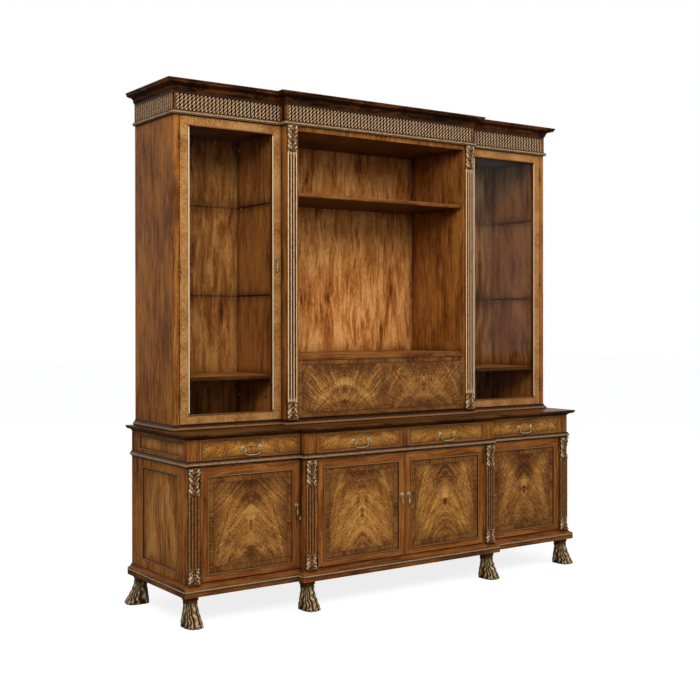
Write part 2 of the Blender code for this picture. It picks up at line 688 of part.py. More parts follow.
def base_door(name, side, free_edge, stile_edge, front, pull_setback, has_key):
    """A cupboard door: a veneered panel in a raised bead, hung on two butt hinges."""
    axis = door_axis(side * stile_edge, side, front)
    x = (side * free_edge, axis[0] - side * DOOR_GAP)
    z = (BASE_Z + DOOR_BOTTOM_REVEAL, ROPE_Z - DOOR_TOP_REVEAL)
    steps = [(0.0, 0.0), (BEAD_WIDTH / 4, BEAD_RISE), (BEAD_WIDTH * 3 / 4, BEAD_RISE),
             (BEAD_WIDTH, -FIELD_SINK)]
    sections = [rectangle(x, z, front + DOOR_THICKNESS), rectangle(x, z, front)]
    for inset, rise in steps:
        sections.append(rectangle(x, z, front - rise, BEAD_SIDE_MARGIN + inset,
                                  BEAD_BOTTOM_MARGIN + inset, BEAD_TOP_MARGIN + inset))
    door = add_piece(name, loft(sections), "crotch_veneer", at=(axis[0], axis[1], z[0]))
    for number, lift in enumerate(base_hinge_lows()):
        join(door, f"hinge_{number}", knuckles(axis, side, lift, BASE_HINGE_LENGTH, on_door=True))
    pull_x = side * (free_edge + pull_setback)
    pull_z = BASE_Z + DOOR_BOTTOM_REVEAL + BASE_PULL_LIFT
    join(door, "rosette", rosette((pull_x, front, pull_z), POST_REACH))
    drop_pull(name.replace("base_door", "base_pull"), (pull_x, front - POST_REACH, pull_z),
              DROP_LENGTH, door)
    if has_key:
        mouth = (pull_x, front, pull_z - KEY_DROP)
        hole = cylinder(Vector(mouth), "Y", KEY_HOLE_RADIUS, 2 * KEY_HOLE_DEPTH, TURNED_STEPS)
        cut(door, "keyhole", hole)
        lock_key(name.replace("base_door", "key"), mouth, door)


def drawer(name, outer, pocket, front, bail_x):
    """A drawer: a front with a cockbead, an open box behind it and two rosettes for its bail."""
    z = (DRAWER_Z + DRAWER_FRONT_LIFT, TABLETOP_Z - DRAWER_FRONT_DROP)
    sections = [rectangle(outer, z, front + DRAWER_FRONT_THICKNESS),
                rectangle(outer, z, front - COCKBEAD_RISE)]
    for inset, rise in ((COCKBEAD_WIDTH, COCKBEAD_RISE), (COCKBEAD_WIDTH + FIT_GAP, 0.0)):
        sections.append(rectangle(outer, z, front - rise, inset, inset, inset))
    piece = add_piece(name, loft(sections), "crotch_veneer", at=(bail_x, front, z[0]))
    box_low = DRAWER_Z + SLIDE_GAP
    box_high = box_low + DRAWER_BOX_HEIGHT
    rear = -BASE_BACK - DRAWER_BACK_CLEARANCE
    near = front + DRAWER_FRONT_THICKNESS
    walls = (min(pocket) + FRONT_GAP, max(pocket) - FRONT_GAP)
    join(piece, "box", box(walls, (rear, near - JOIN_SINK), (box_low, box_high)))
    hollow = (walls[0] + DRAWER_WALL, walls[1] - DRAWER_WALL)
    cut(piece, "inside", box(hollow, (rear - DRAWER_WALL, near),
                             (box_low + DRAWER_BOTTOM, box_high + CUT_OVERRUN)))
    bail_z = DRAWER_Z + BAIL_LIFT
    for sign in (LEFT, RIGHT):
        centre = (bail_x + sign * BAIL_SPREAD / 2, front, bail_z)
        join(piece, "rosette_" + SIDE_NAMES[sign], rosette(centre, POST_REACH))
    drawer_bail(name.replace("drawer", "drawer_bail"), (bail_x, front - POST_REACH, bail_z), piece)


def upper_wing_case(side):
    """A wing carcass of the upper stage, with one fixed shelf."""
    name = "upper_case_" + SIDE_NAMES[side]
    front = -UPPER.depth
    inner = UPPER.centre_half + FIT_GAP
    top = FRIEZE_Z - FIT_GAP
    case = add_piece(name, box((side * inner, side * UPPER.half_width), (0.0, front),
                               (UPPER_Z + FIT_GAP, top)), "walnut")
    panel_face = UPPER.half_width - UPPER_SIDE
    behind_door = front + DOOR_THICKNESS + FRONT_GAP
    outward = front - CUT_OVERRUN
    cut(case, "door_recess", box((side * (inner - CUT_OVERRUN), side * panel_face),
                                 (behind_door, outward), (UPPER_FLOOR_Z, top + CUT_OVERRUN)))
    clear_x = (side * (inner + UPPER_PARTITION), side * panel_face)
    clear_y = (-UPPER_BACK, behind_door - CUT_OVERRUN)
    shelf_top = UPPER_FLOOR_Z + WING_SHELF_LIFT
    ceiling = FRIEZE_Z - UPPER_TOP
    cut(case, "lower_space", box(clear_x, clear_y, (UPPER_FLOOR_Z, shelf_top - WING_SHELF)))
    cut(case, "upper_space", box(clear_x, clear_y, (shelf_top, ceiling)))
    axis = door_axis(side * panel_face, side, front)
    for number, lift in enumerate(glazed_hinge_lows()):
        hinge = knuckles(axis, side, lift, GLAZED_HINGE_LENGTH, on_door=False)
        join(case, f"hinge_{number}", hinge)
    bottoms = [UPPER_FLOOR_Z + lift for lift in GLASS_SHELF_LIFTS]
    near = behind_door + GLASS_SHELF_SETBACK
    faces = [(min(clear_x), 1), (max(clear_x), -1)]
    shelf_pins(case, "shelf_pins", faces, (-UPPER_BACK, near), bottoms)
    span = (min(clear_x) + SLIDE_GAP, max(clear_x) - SLIDE_GAP)
    for level, bottom in zip(("lower", "upper"), bottoms):
        shelf = box(span, (-UPPER_BACK - SLIDE_GAP, near), (bottom, bottom + GLASS_SHELF))
        add_piece(f"glass_shelf_{level}_{SIDE_NAMES[side]}", shelf, "clear_glass",
                  at=(sum(span) / 2, -UPPER_BACK - SLIDE_GAP, bottom))


def upper_centre_case():
    """The open centre bay over its flap compartment, with the fixed shelf that the set stands on."""
    front = -UPPER.depth - UPPER.break_depth
    outer = UPPER.centre_half
    mouth = outer - UPPER_STILE_WIDTH
    floor = UPPER_FLOOR_Z
    shelf_top = floor + TV_SHELF_LIFT
    ceiling = FRIEZE_Z - UPPER_TOP
    case = add_piece("upper_case_centre", box((-outer, outer), (0.0, front),
                                              (UPPER_Z + FIT_GAP, FRIEZE_Z - FIT_GAP)), "walnut")
    for side in (LEFT, RIGHT):
        cut(case, "side_space_" + SIDE_NAMES[side],
            box((side * (mouth + UPPER_LINING), side * (outer + CUT_OVERRUN)),
                (-UPPER_BACK, front + UPPER_STILE_DEPTH), (floor, ceiling)))
    outward = front - CUT_OVERRUN
    cut(case, "flap_space", box((-mouth, mouth), (-UPPER_BACK, outward), (floor, shelf_top - TV_SHELF)))
    cut(case, "display_space", box((-mouth, mouth), (-UPPER_BACK, outward), (shelf_top, ceiling)))
    flap_axis = (front + FLAP_THICKNESS / 2, floor + SLIDE_GAP + FLAP_THICKNESS / 2)
    holes = bmesh.new()
    for side in (LEFT, RIGHT):
        cylinder(Vector((side * mouth, *flap_axis)), "X", FLAP_PIN_RADIUS + FIT_GAP,
                 2 * (FLAP_PIN_LENGTH + SLIDE_GAP), TURNED_STEPS, holes)
    cut(case, "flap_pin_holes", holes)
    bottom = floor + DISPLAY_SHELF_LIFT - DISPLAY_SHELF
    near = front + DISPLAY_SHELF_SETBACK
    shelf_pins(case, "shelf_pins", [(-mouth, 1), (mouth, -1)], (-UPPER_BACK, near), [bottom])
    shelf = box((-mouth + SLIDE_GAP, mouth - SLIDE_GAP), (-UPPER_BACK - SLIDE_GAP, near),
                (bottom, bottom + DISPLAY_SHELF))
    add_piece("display_shelf", shelf, "walnut", at=(0.0, -UPPER_BACK - SLIDE_GAP, bottom))
    fall_flap(mouth, front, flap_axis, shelf_top - TV_SHELF - FRONT_GAP)


def fall_flap(mouth, front, axis, top):
    """A flap that falls forward on two pins, with its lower edge rounded about them."""
    radius = FLAP_THICKNESS / 2
    angles = [pi + pi * step / (2 * ARC_STEPS) for step in range(2 * ARC_STEPS + 1)]
    outline = [(front, top)]
    outline += [(axis[0] + radius * cos(a), axis[1] + radius * sin(a)) for a in angles]
    outline.append((front + FLAP_THICKNESS, top))
    half = mouth - FRONT_GAP
    flap = add_piece("fall_flap", prism(outline, "X", -half, half), "crossband_veneer",
                     at=(0.0, axis[0], axis[1]))
    pins = bmesh.new()
    for side in (LEFT, RIGHT):
        reach = FRONT_GAP + FLAP_PIN_LENGTH
        centre = Vector((side * (half + reach / 2 - JOIN_SINK / 2), *axis))
        cylinder(centre, "X", FLAP_PIN_RADIUS, reach + JOIN_SINK, TURNED_STEPS, pins)
    join(flap, "pins", pins)


def glazed_door(side):
    """A glazed wing door: a mitred frame with a glazing bead, a groove and its pane."""
    name = "glazed_door_" + SIDE_NAMES[side]
    front = -UPPER.depth
    axis = door_axis(side * (UPPER.half_width - UPPER_SIDE), side, front)
    x = (side * (UPPER.centre_half + DOOR_GAP * 2), axis[0] - side * DOOR_GAP)
    z = (UPPER_FLOOR_Z + FRONT_GAP, FRIEZE_Z - GLAZED_TOP_REVEAL)
    back = front + DOOR_THICKNESS
    bead = [amount - GLAZING_BEAD_WIDTH for amount in (GLAZED_STILE, GLAZED_BOTTOM_RAIL, GLAZED_TOP_RAIL)]
    sections = [rectangle(x, z, back), rectangle(x, z, front), rectangle(x, z, front, *bead),
                rectangle(x, z, front - GLAZING_BEAD_RISE, *bead)]
    door = add_piece(name, loft(sections), "crossband_veneer", at=(axis[0], axis[1], z[0]))
    sight_x = (min(x) + GLAZED_STILE, max(x) - GLAZED_STILE)
    sight_z = (z[0] + GLAZED_BOTTOM_RAIL, z[1] - GLAZED_TOP_RAIL)
    cut(door, "sight", box(sight_x, (back + CUT_OVERRUN, front - CUT_OVERRUN), sight_z))
    middle = (front + back) / 2
    groove_x = (sight_x[0] - PANE_REBATE, sight_x[1] + PANE_REBATE)
    groove_z = (sight_z[0] - PANE_REBATE, sight_z[1] + PANE_REBATE)
    half = PANE_THICKNESS / 2 + FIT_GAP
    cut(door, "groove", box(groove_x, (middle - half, middle + half), groove_z))
    for number, lift in enumerate(glazed_hinge_lows()):
        hinge = knuckles(axis, side, lift, GLAZED_HINGE_LENGTH, on_door=True)
        join(door, f"hinge_{number}", hinge)
    pull_x = side * (UPPER.centre_half + DOOR_GAP * 2 + GLAZED_PULL_SETBACK)
    pull_z = UPPER_FLOOR_Z + GLAZED_PULL_LIFT
    join(door, "rosette", rosette((pull_x, front, pull_z), POST_REACH))
    drop_pull("glazed_pull_" + SIDE_NAMES[side], (pull_x, front - POST_REACH, pull_z),
              GLAZED_DROP_LENGTH, door)
    pane = box((groove_x[0] + SLIDE_GAP, groove_x[1] - SLIDE_GAP),
               (middle - PANE_THICKNESS / 2, middle + PANE_THICKNESS / 2),
               (groove_z[0] + FIT_GAP, groove_z[1] - SLIDE_GAP))
    add_piece("glass_pane_" + SIDE_NAMES[side], pane, "clear_glass",
              at=(sum(sight_x) / 2, middle, sight_z[0]), parent=door)


def fluted_outline(x_low, x_high, back, front):
    """Plan of a pilaster shaft: a flat back, with hollow flutes between flat ribs in front."""
    rib = (x_high - x_low - FLUTE_COUNT * FLUTE_WIDTH) / (FLUTE_COUNT + 1)
    points = [(x_low, back), (x_low, front)]
    for number in range(FLUTE_COUNT):
        start = x_low + rib + number * (rib + FLUTE_WIDTH)
        for step in range(FLUTE_STEPS + 1):
            share = step / FLUTE_STEPS
            points.append((start + FLUTE_WIDTH * share, front + FLUTE_DEPTH * sin(pi * share)))
    return points + [(x_high, front), (x_high, back)]


def carved_block(x_low, x_high, back, low, height, thin, thick, shares):
    """A carved leaf block: its ridges run up a front that swells and draws in by shares."""
    width = x_high - x_low
    count = 2 * LEAF_RIDGES
    sections = []
    for up, swell in shares:
        front = back - thin - (thick - thin) * swell
        level = low + height * up
        section = [(x_low, back, level)]
        for step in range(count + 1):
            valley = LEAF_VALLEY_DEPTH if step % 2 else 0.0
            section.append((x_low + width * step / count, front + valley, level))
        section.append((x_high, back, level))
        sections.append(section)
    return loft(sections)


def pilaster(name, side, outer_edge, face, low, high, foot, bracket):
    """A fluted pilaster with a carved bracket at its head and a flared carved foot."""
    x_low = min(side * outer_edge, side * (outer_edge - PILASTER_WIDTH))
    x_high = x_low + PILASTER_WIDTH
    back = face - FIT_GAP
    front = back - PILASTER_PROJECTION
    outline = fluted_outline(x_low + SHAFT_REVEAL, x_high - SHAFT_REVEAL, back - SHAFT_REVEAL, front)
    foot_height, foot_flare = foot
    bracket_height, bracket_reach = bracket
    shaft = prism(outline, "Z", low + foot_height - JOIN_SINK, high - bracket_height + JOIN_SINK)
    piece = add_piece(name, shaft, "carved_walnut", at=((x_low + x_high) / 2, face, low))
    join(piece, "carved_foot", carved_block(x_low, x_high, back, low, foot_height,
                                            PILASTER_PROJECTION, foot_flare, CARVED_FOOT_SHARES))
    join(piece, "bracket", carved_block(x_low, x_high, back, high - bracket_height, bracket_height,
                                        PILASTER_PROJECTION, bracket_reach, BRACKET_SHARES))


def pilasters():
    """Four pilasters on the base and two on the upper stage, flush with the corners behind them."""
    base_foot = (BASE_CARVED_FOOT_HEIGHT, BASE_CARVED_FOOT_FLARE)
    base_bracket = (BASE_BRACKET_HEIGHT, BASE_BRACKET_PROJECTION)
    upper_foot = (UPPER_CARVED_FOOT_HEIGHT, UPPER_CARVED_FOOT_FLARE)
    upper_bracket = (UPPER_BRACKET_HEIGHT, UPPER_BRACKET_PROJECTION)
    base_low = BASE_Z + FIT_GAP
    base_high = ROPE_Z - FIT_GAP
    for side in (LEFT, RIGHT):
        word = SIDE_NAMES[side]
        pilaster("base_pilaster_corner_" + word, side, BASE.half_width, -BASE.depth, base_low, base_high,
                 base_foot, base_bracket)
        pilaster("base_pilaster_break_" + word, side, BASE.centre_half, -BASE.depth - BASE.break_depth,
                 base_low, base_high, base_foot, base_bracket)
        pilaster("upper_pilaster_" + word, side, UPPER.centre_half, -UPPER.depth - UPPER.break_depth,
                 UPPER_FLOOR_Z + FIT_GAP, FRIEZE_Z - FIT_GAP, upper_foot, upper_bracket)


def paw_section(height, spread, reach, inset, cleft):
    """One ring of a paw in shares of its sizes; the toes point to -Y from the block's centre."""
    half = FOOT_BLOCK_WIDTH / 2
    half_width = half + (PAW_WIDTH / 2 - half) * spread
    ahead = half + TOE_REACH * reach
    behind = half - HEEL_INSET * inset
    level = (FOOT_HEIGHT - FOOT_BLOCK_HEIGHT) * height
    swell = cos(2 * pi / PAW_POINTS) ** PAW_ROUNDING_SHARE
    points = []
    for number in range(PAW_POINTS):
        angle = 2 * pi * number / PAW_POINTS
        across = sin(angle)
        along = cos(angle)
        in_front = number <= PAW_POINTS / 4 or number >= PAW_POINTS * 3 / 4
        in_cleft = in_front and number % 2 == 0
        pull = TOE_CLEFT_DEPTH * cleft if in_cleft else 0.0
        x = (half_width / swell - pull * abs(across)) * copysign(abs(across) ** PAW_ROUNDING_SHARE, across)
        depth = (ahead if along >= 0 else behind) / swell - pull * abs(along)
        y = -depth * copysign(abs(along) ** PAW_ROUNDING_SHARE, along)
        points.append((x, y, level))
    return points


def paw_foot(name, x, y, turn):
    """A lion's paw with four toes under a square block."""
    sections = [paw_section(*shares) for shares in PAW_SHARES]
    rise = FOOT_HEIGHT - FOOT_BLOCK_HEIGHT
    neck = [(px, py, rise + JOIN_SINK) for px, py, pz in sections[0]]
    shape = loft([neck] + sections)
    bmesh.ops.translate(shape, verts=shape.verts, vec=(x, y, 0.0))
    foot = add_piece(name, shape, "carved_walnut", at=(x, y, 0.0), turn=turn)
    half = FOOT_BLOCK_WIDTH / 2
    block = box((x - half, x + half), (y - half, y + half), (rise, FOOT_HEIGHT - FIT_GAP))
    join(foot, "block", block)


def paw_feet():
    """Eight feet: corners and breaks in front, corners and bay ends at the rear."""
    half = FOOT_BLOCK_WIDTH / 2
    rear = -REAR_FOOT_INSET - half
    for side in (LEFT, RIGHT):
        word = SIDE_NAMES[side]
        corner = side * (BASE.half_width - half)
        inner = side * (BASE.centre_half - half)
        paw_foot("foot_corner_" + word, corner, half - BASE.depth, 0.0)
        paw_foot("foot_break_" + word, inner, half - BASE.depth - BASE.break_depth, 0.0)
        paw_foot("foot_rear_" + word, corner, rear, side * radians(90.0))
        paw_foot("foot_rear_middle_" + word, inner, rear, 0.0)


def mouldings():
    """The plinth, rope moulding, tabletop, upper moulding, frieze and crown."""
    plinth = moulding(grown(BASE, 0.0), grown(BASE, PLINTH_PROJECTION), PLINTH_Z,
                      PLINTH_HEIGHT - FIT_GAP, PLINTH_SHARES)
    piece = add_piece("plinth", plinth, "dark_walnut", at=(0.0, 0.0, PLINTH_Z))
    inner = breakfront(grown(BASE, -PLINTH_RAIL), -PLINTH_RAIL)
    cut(piece, "inside", prism(inner, "Z", PLINTH_Z - CUT_OVERRUN, BASE_Z + CUT_OVERRUN))

    rope = moulding(BASE, grown(BASE, ROPE_PROJECTION), ROPE_Z, ROPE_MOULDING_HEIGHT - FIT_GAP,
                    ROPE_SHARES)
    piece = add_piece("rope_moulding", rope, "carved_walnut", at=(0.0, 0.0, ROPE_Z))
    case = breakfront(grown(BASE, FIT_GAP), CUT_OVERRUN)
    cut(piece, "case", prism(case, "Z", ROPE_Z - CUT_OVERRUN, DRAWER_Z + CUT_OVERRUN))

    outer = Plan(BASE.half_width + TABLETOP_OVERHANG, BASE.depth + TABLETOP_OVERHANG,
                 BASE.centre_half + TABLETOP_RETURN_OVERHANG, BASE.break_depth)
    top = moulding(grown(BASE, TABLETOP_NECK), outer, TABLETOP_Z, TABLETOP_THICKNESS, TABLETOP_SHARES)
    add_piece("tabletop", top, "walnut", at=(0.0, 0.0, TABLETOP_Z))

    base = moulding(UPPER, grown(UPPER, UPPER_MOULDING_PROJECTION), UPPER_Z + FIT_GAP,
                    UPPER_MOULDING_HEIGHT - FIT_GAP, UPPER_MOULDING_SHARES)
    piece = add_piece("upper_base_moulding", base, "carved_walnut", at=(0.0, 0.0, UPPER_Z))
    case = breakfront(grown(UPPER, FIT_GAP), CUT_OVERRUN)
    cut(piece, "case", prism(case, "Z", UPPER_Z - CUT_OVERRUN, UPPER_FLOOR_Z + CUT_OVERRUN))

    face = grown(UPPER, FRIEZE_PROJECTION)
    swell = grown(face, FRIEZE_ROPE_PROJECTION)
    ratio = FRIEZE_ROPE_HEIGHT / (FRIEZE_HEIGHT - FIT_GAP)
    shares = [(out, up * ratio) for out, up in FRIEZE_ROPE_SHARES] + [(0.0, 1.0)]
    frieze = moulding(face, swell, FRIEZE_Z, FRIEZE_HEIGHT - FIT_GAP, shares)
    piece = add_piece("frieze", frieze, "carved_walnut", at=(0.0, 0.0, FRIEZE_Z))
    inner = breakfront(grown(face, -FRIEZE_BOARD), -FRIEZE_BOARD)
    cut(piece, "inside", prism(inner, "Z", FRIEZE_Z - CUT_OVERRUN, CROWN_Z + CUT_OVERRUN))

    shares = list(CROWN_LOW_SHARES) + cove(*CROWN_COVE_SHARES, ARC_STEPS)
    shares += ovolo(*CROWN_OVOLO_SHARES, ARC_STEPS) + list(CROWN_LIP_SHARES)
    crown = moulding(face, grown(face, CROWN_PROJECTION), CROWN_Z, CROWN_HEIGHT, shares)
    piece = add_piece("crown", crown, "dark_walnut", at=(0.0, 0.0, CROWN_Z))
    well = breakfront(grown(face, -CROWN_RIM), -CROWN_RIM)
    cut(piece, "well", prism(well, "Z", CROWN_Z + CROWN_BOARD, CROWN_Z + CROWN_HEIGHT + CUT_OVERRUN))


def base_fronts():
    """The four cupboard doors and the four drawers above them."""
    wing_front = -BASE.depth
    centre_front = -BASE.depth - BASE.break_depth
    wing_edge = BASE.half_width - CORNER_STILE_WIDTH
    centre_edge = BASE.centre_half - BREAK_STILE_WIDTH
    wing_free = BASE.centre_half + WING_FRONT_REVEAL
    for side in (LEFT, RIGHT):
        word = SIDE_NAMES[side]
        base_door("base_door_" + word, side, wing_free, wing_edge, wing_front, PULL_SETBACK, True)
        base_door("base_door_centre_" + word, side, MEETING_GAP / 2, centre_edge, centre_front,
                  CENTRE_PULL_SETBACK, side == RIGHT)
        outer = (side * wing_free, side * (wing_edge - FRONT_GAP))
        pocket = (side * (BASE.centre_half + FIT_GAP + BASE_SIDE), side * wing_edge)
        drawer("drawer_" + word, outer, pocket, wing_front, sum(outer) / 2)
        outer = (side * (DRAWER_DIVIDER / 2 + FRONT_GAP), side * (centre_edge - FRONT_GAP))
        pocket = (side * DRAWER_DIVIDER / 2, side * centre_edge)
        drawer("drawer_centre_" + word, outer, pocket, centre_front, sum(outer) / 2)


def build_cabinet():
    """Make every piece, from the feet up."""
    paw_feet()
    mouldings()
    for side in (LEFT, 0, RIGHT):
        base_case(side)
    base_fronts()
    for side in (LEFT, RIGHT):
        upper_wing_case(side)
        glazed_door(side)
    upper_centre_case()
    pilasters()


clear_scene()
PARTS = new_collection("breakfront_tv_cabinet")
TOOLS = new_collection("cutters_and_joined_shapes")
CABINET = bpy.data.objects.new("cabinet", None)
CABINET.location = (0.0, OVERALL_DEPTH / 2, 0.0)
PARTS.objects.link(CABINET)
SEATS["cabinet"] = ORIGIN
build_cabinet()
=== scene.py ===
"""The looks of a breakfront television cabinet of three bays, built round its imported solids.

The cabinet is walnut: book-matched crotch veneers in mitred crossbands, carved and highlighted trim,
and antique brass fittings. X runs right along the front, Y to the rear and Z up, all in metres.
"""

import logging  # noqa: E402
from dataclasses import dataclass, replace  # noqa: E402
from enum import Enum  # noqa: E402
from math import atan2, cos, exp, floor, hypot, pi, radians, sin, sqrt, tau  # noqa: E402
from typing import Any, Callable, Sequence  # noqa: E402

import bpy  # noqa: E402
from mathutils import Matrix, Vector  # noqa: E402


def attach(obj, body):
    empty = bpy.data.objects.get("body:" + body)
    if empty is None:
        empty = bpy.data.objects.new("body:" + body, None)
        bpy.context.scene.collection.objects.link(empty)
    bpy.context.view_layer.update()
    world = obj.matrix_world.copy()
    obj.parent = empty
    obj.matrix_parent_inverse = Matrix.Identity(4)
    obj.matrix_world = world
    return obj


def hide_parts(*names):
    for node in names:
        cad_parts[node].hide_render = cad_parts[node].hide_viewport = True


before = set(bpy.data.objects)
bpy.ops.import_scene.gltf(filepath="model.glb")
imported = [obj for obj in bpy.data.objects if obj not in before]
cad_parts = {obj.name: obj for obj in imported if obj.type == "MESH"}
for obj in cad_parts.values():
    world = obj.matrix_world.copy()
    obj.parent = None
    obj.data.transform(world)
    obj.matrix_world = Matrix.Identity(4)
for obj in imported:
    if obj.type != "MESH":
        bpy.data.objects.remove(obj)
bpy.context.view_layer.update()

LOG = logging.getLogger("cabinet")
Piece = bpy.types.Object
Material = bpy.types.Material
Tree = bpy.types.NodeTree
Socket = bpy.types.NodeSocket
Point = tuple[float, float, float]
Span = tuple[float, float]
Quad = tuple[float, float, float, float]
Surface = Callable[[float, float], Quad]

GRAIN_MAP = "grain"
RIDGE = "ridge"
MM = 0.001


def mm(*points: Sequence[float]) -> list[tuple[float, ...]]:
    """Turn points drawn in millimetres into metres."""
    return [tuple(number * MM for number in point) for point in points]


class Side(Enum):
    """The two ends of the cabinet, with the sign of their X."""

    LEFT = -1
    RIGHT = 1

    @property
    def word(self) -> str:
        """The side's name in lower case."""
        return self.name.lower()


class Bay(Enum):
    """A wing or the forward-standing centre."""

    WING = "wing"
    CENTRE = "centre"


class Grain(Enum):
    """Which way a board's grain runs."""

    UPRIGHT = "upright"
    LEVEL = "level"
    MAPPED = "mapped"


@dataclass(frozen=True)
class Run:
    """One straight length of a plan, with its number round the front."""

    number: int
    start: Span
    end: Span

    @property
    def length(self) -> float:
        """How long it is."""
        return hypot(self.end[0] - self.start[0], self.end[1] - self.start[1])

    @property
    def turn(self) -> float:
        """How far a piece that faces the front is turned about Z to face outward here."""
        return atan2(self.end[1] - self.start[1], self.end[0] - self.start[0])

    def at(self, along: float, out: float = 0.0) -> Span:
        """The point some way along the length and some way outside it."""
        x, y = ((b - a) / self.length for a, b in zip(self.start, self.end))
        return (self.start[0] + x * along + y * out, self.start[1] + y * along - x * out)


@dataclass(frozen=True)
class Plan:
    """The outline of a breakfront stage, in the cabinet's own frame."""

    half_width: float
    front: float
    centre_half: float
    centre_front: float
    rear: float = 0.3415

    def corners(self, out: float = 0.0) -> list[Span]:
        """List the eight corners of the plan stepped outward, from the rear left round the front.

        Args:
            out: How far the ends, fronts and breaks step outward.

        Returns:
            The corners as (x, y).
        """
        half = [
            (self.centre_half + out, self.centre_front - out), (self.centre_half + out, self.front - out),
            (self.half_width + out, self.front - out), (self.half_width + out, self.rear),
        ]
        return [(-x, y) for x, y in reversed(half)] + half

    def runs(self, out: float) -> list[Run]:
        """The seven straight lengths of the plan stepped outward."""
        corners = self.corners(out)
        return [Run(number, *ends) for number, ends in enumerate(zip(corners, corners[1:]))]

    def toward(self, other: "Plan", share: float) -> "Plan":
        """The plan that lies a share of the way to another.

        Args:
            other: The plan at share 1.
            share: How far toward it.

        Returns:
            The plan between.
        """
        pairs = ((self.half_width, other.half_width), (self.front, other.front),
                 (self.centre_half, other.centre_half), (self.centre_front, other.centre_front))
        return Plan(*(a + (b - a) * share for a, b in pairs))


BASE = Plan(half_width=1.1834, front=-0.2480, centre_half=0.5925, centre_front=-0.2915)
UPPER = Plan(half_width=1.1652, front=-0.0815, centre_half=0.5930, centre_front=-0.1265)


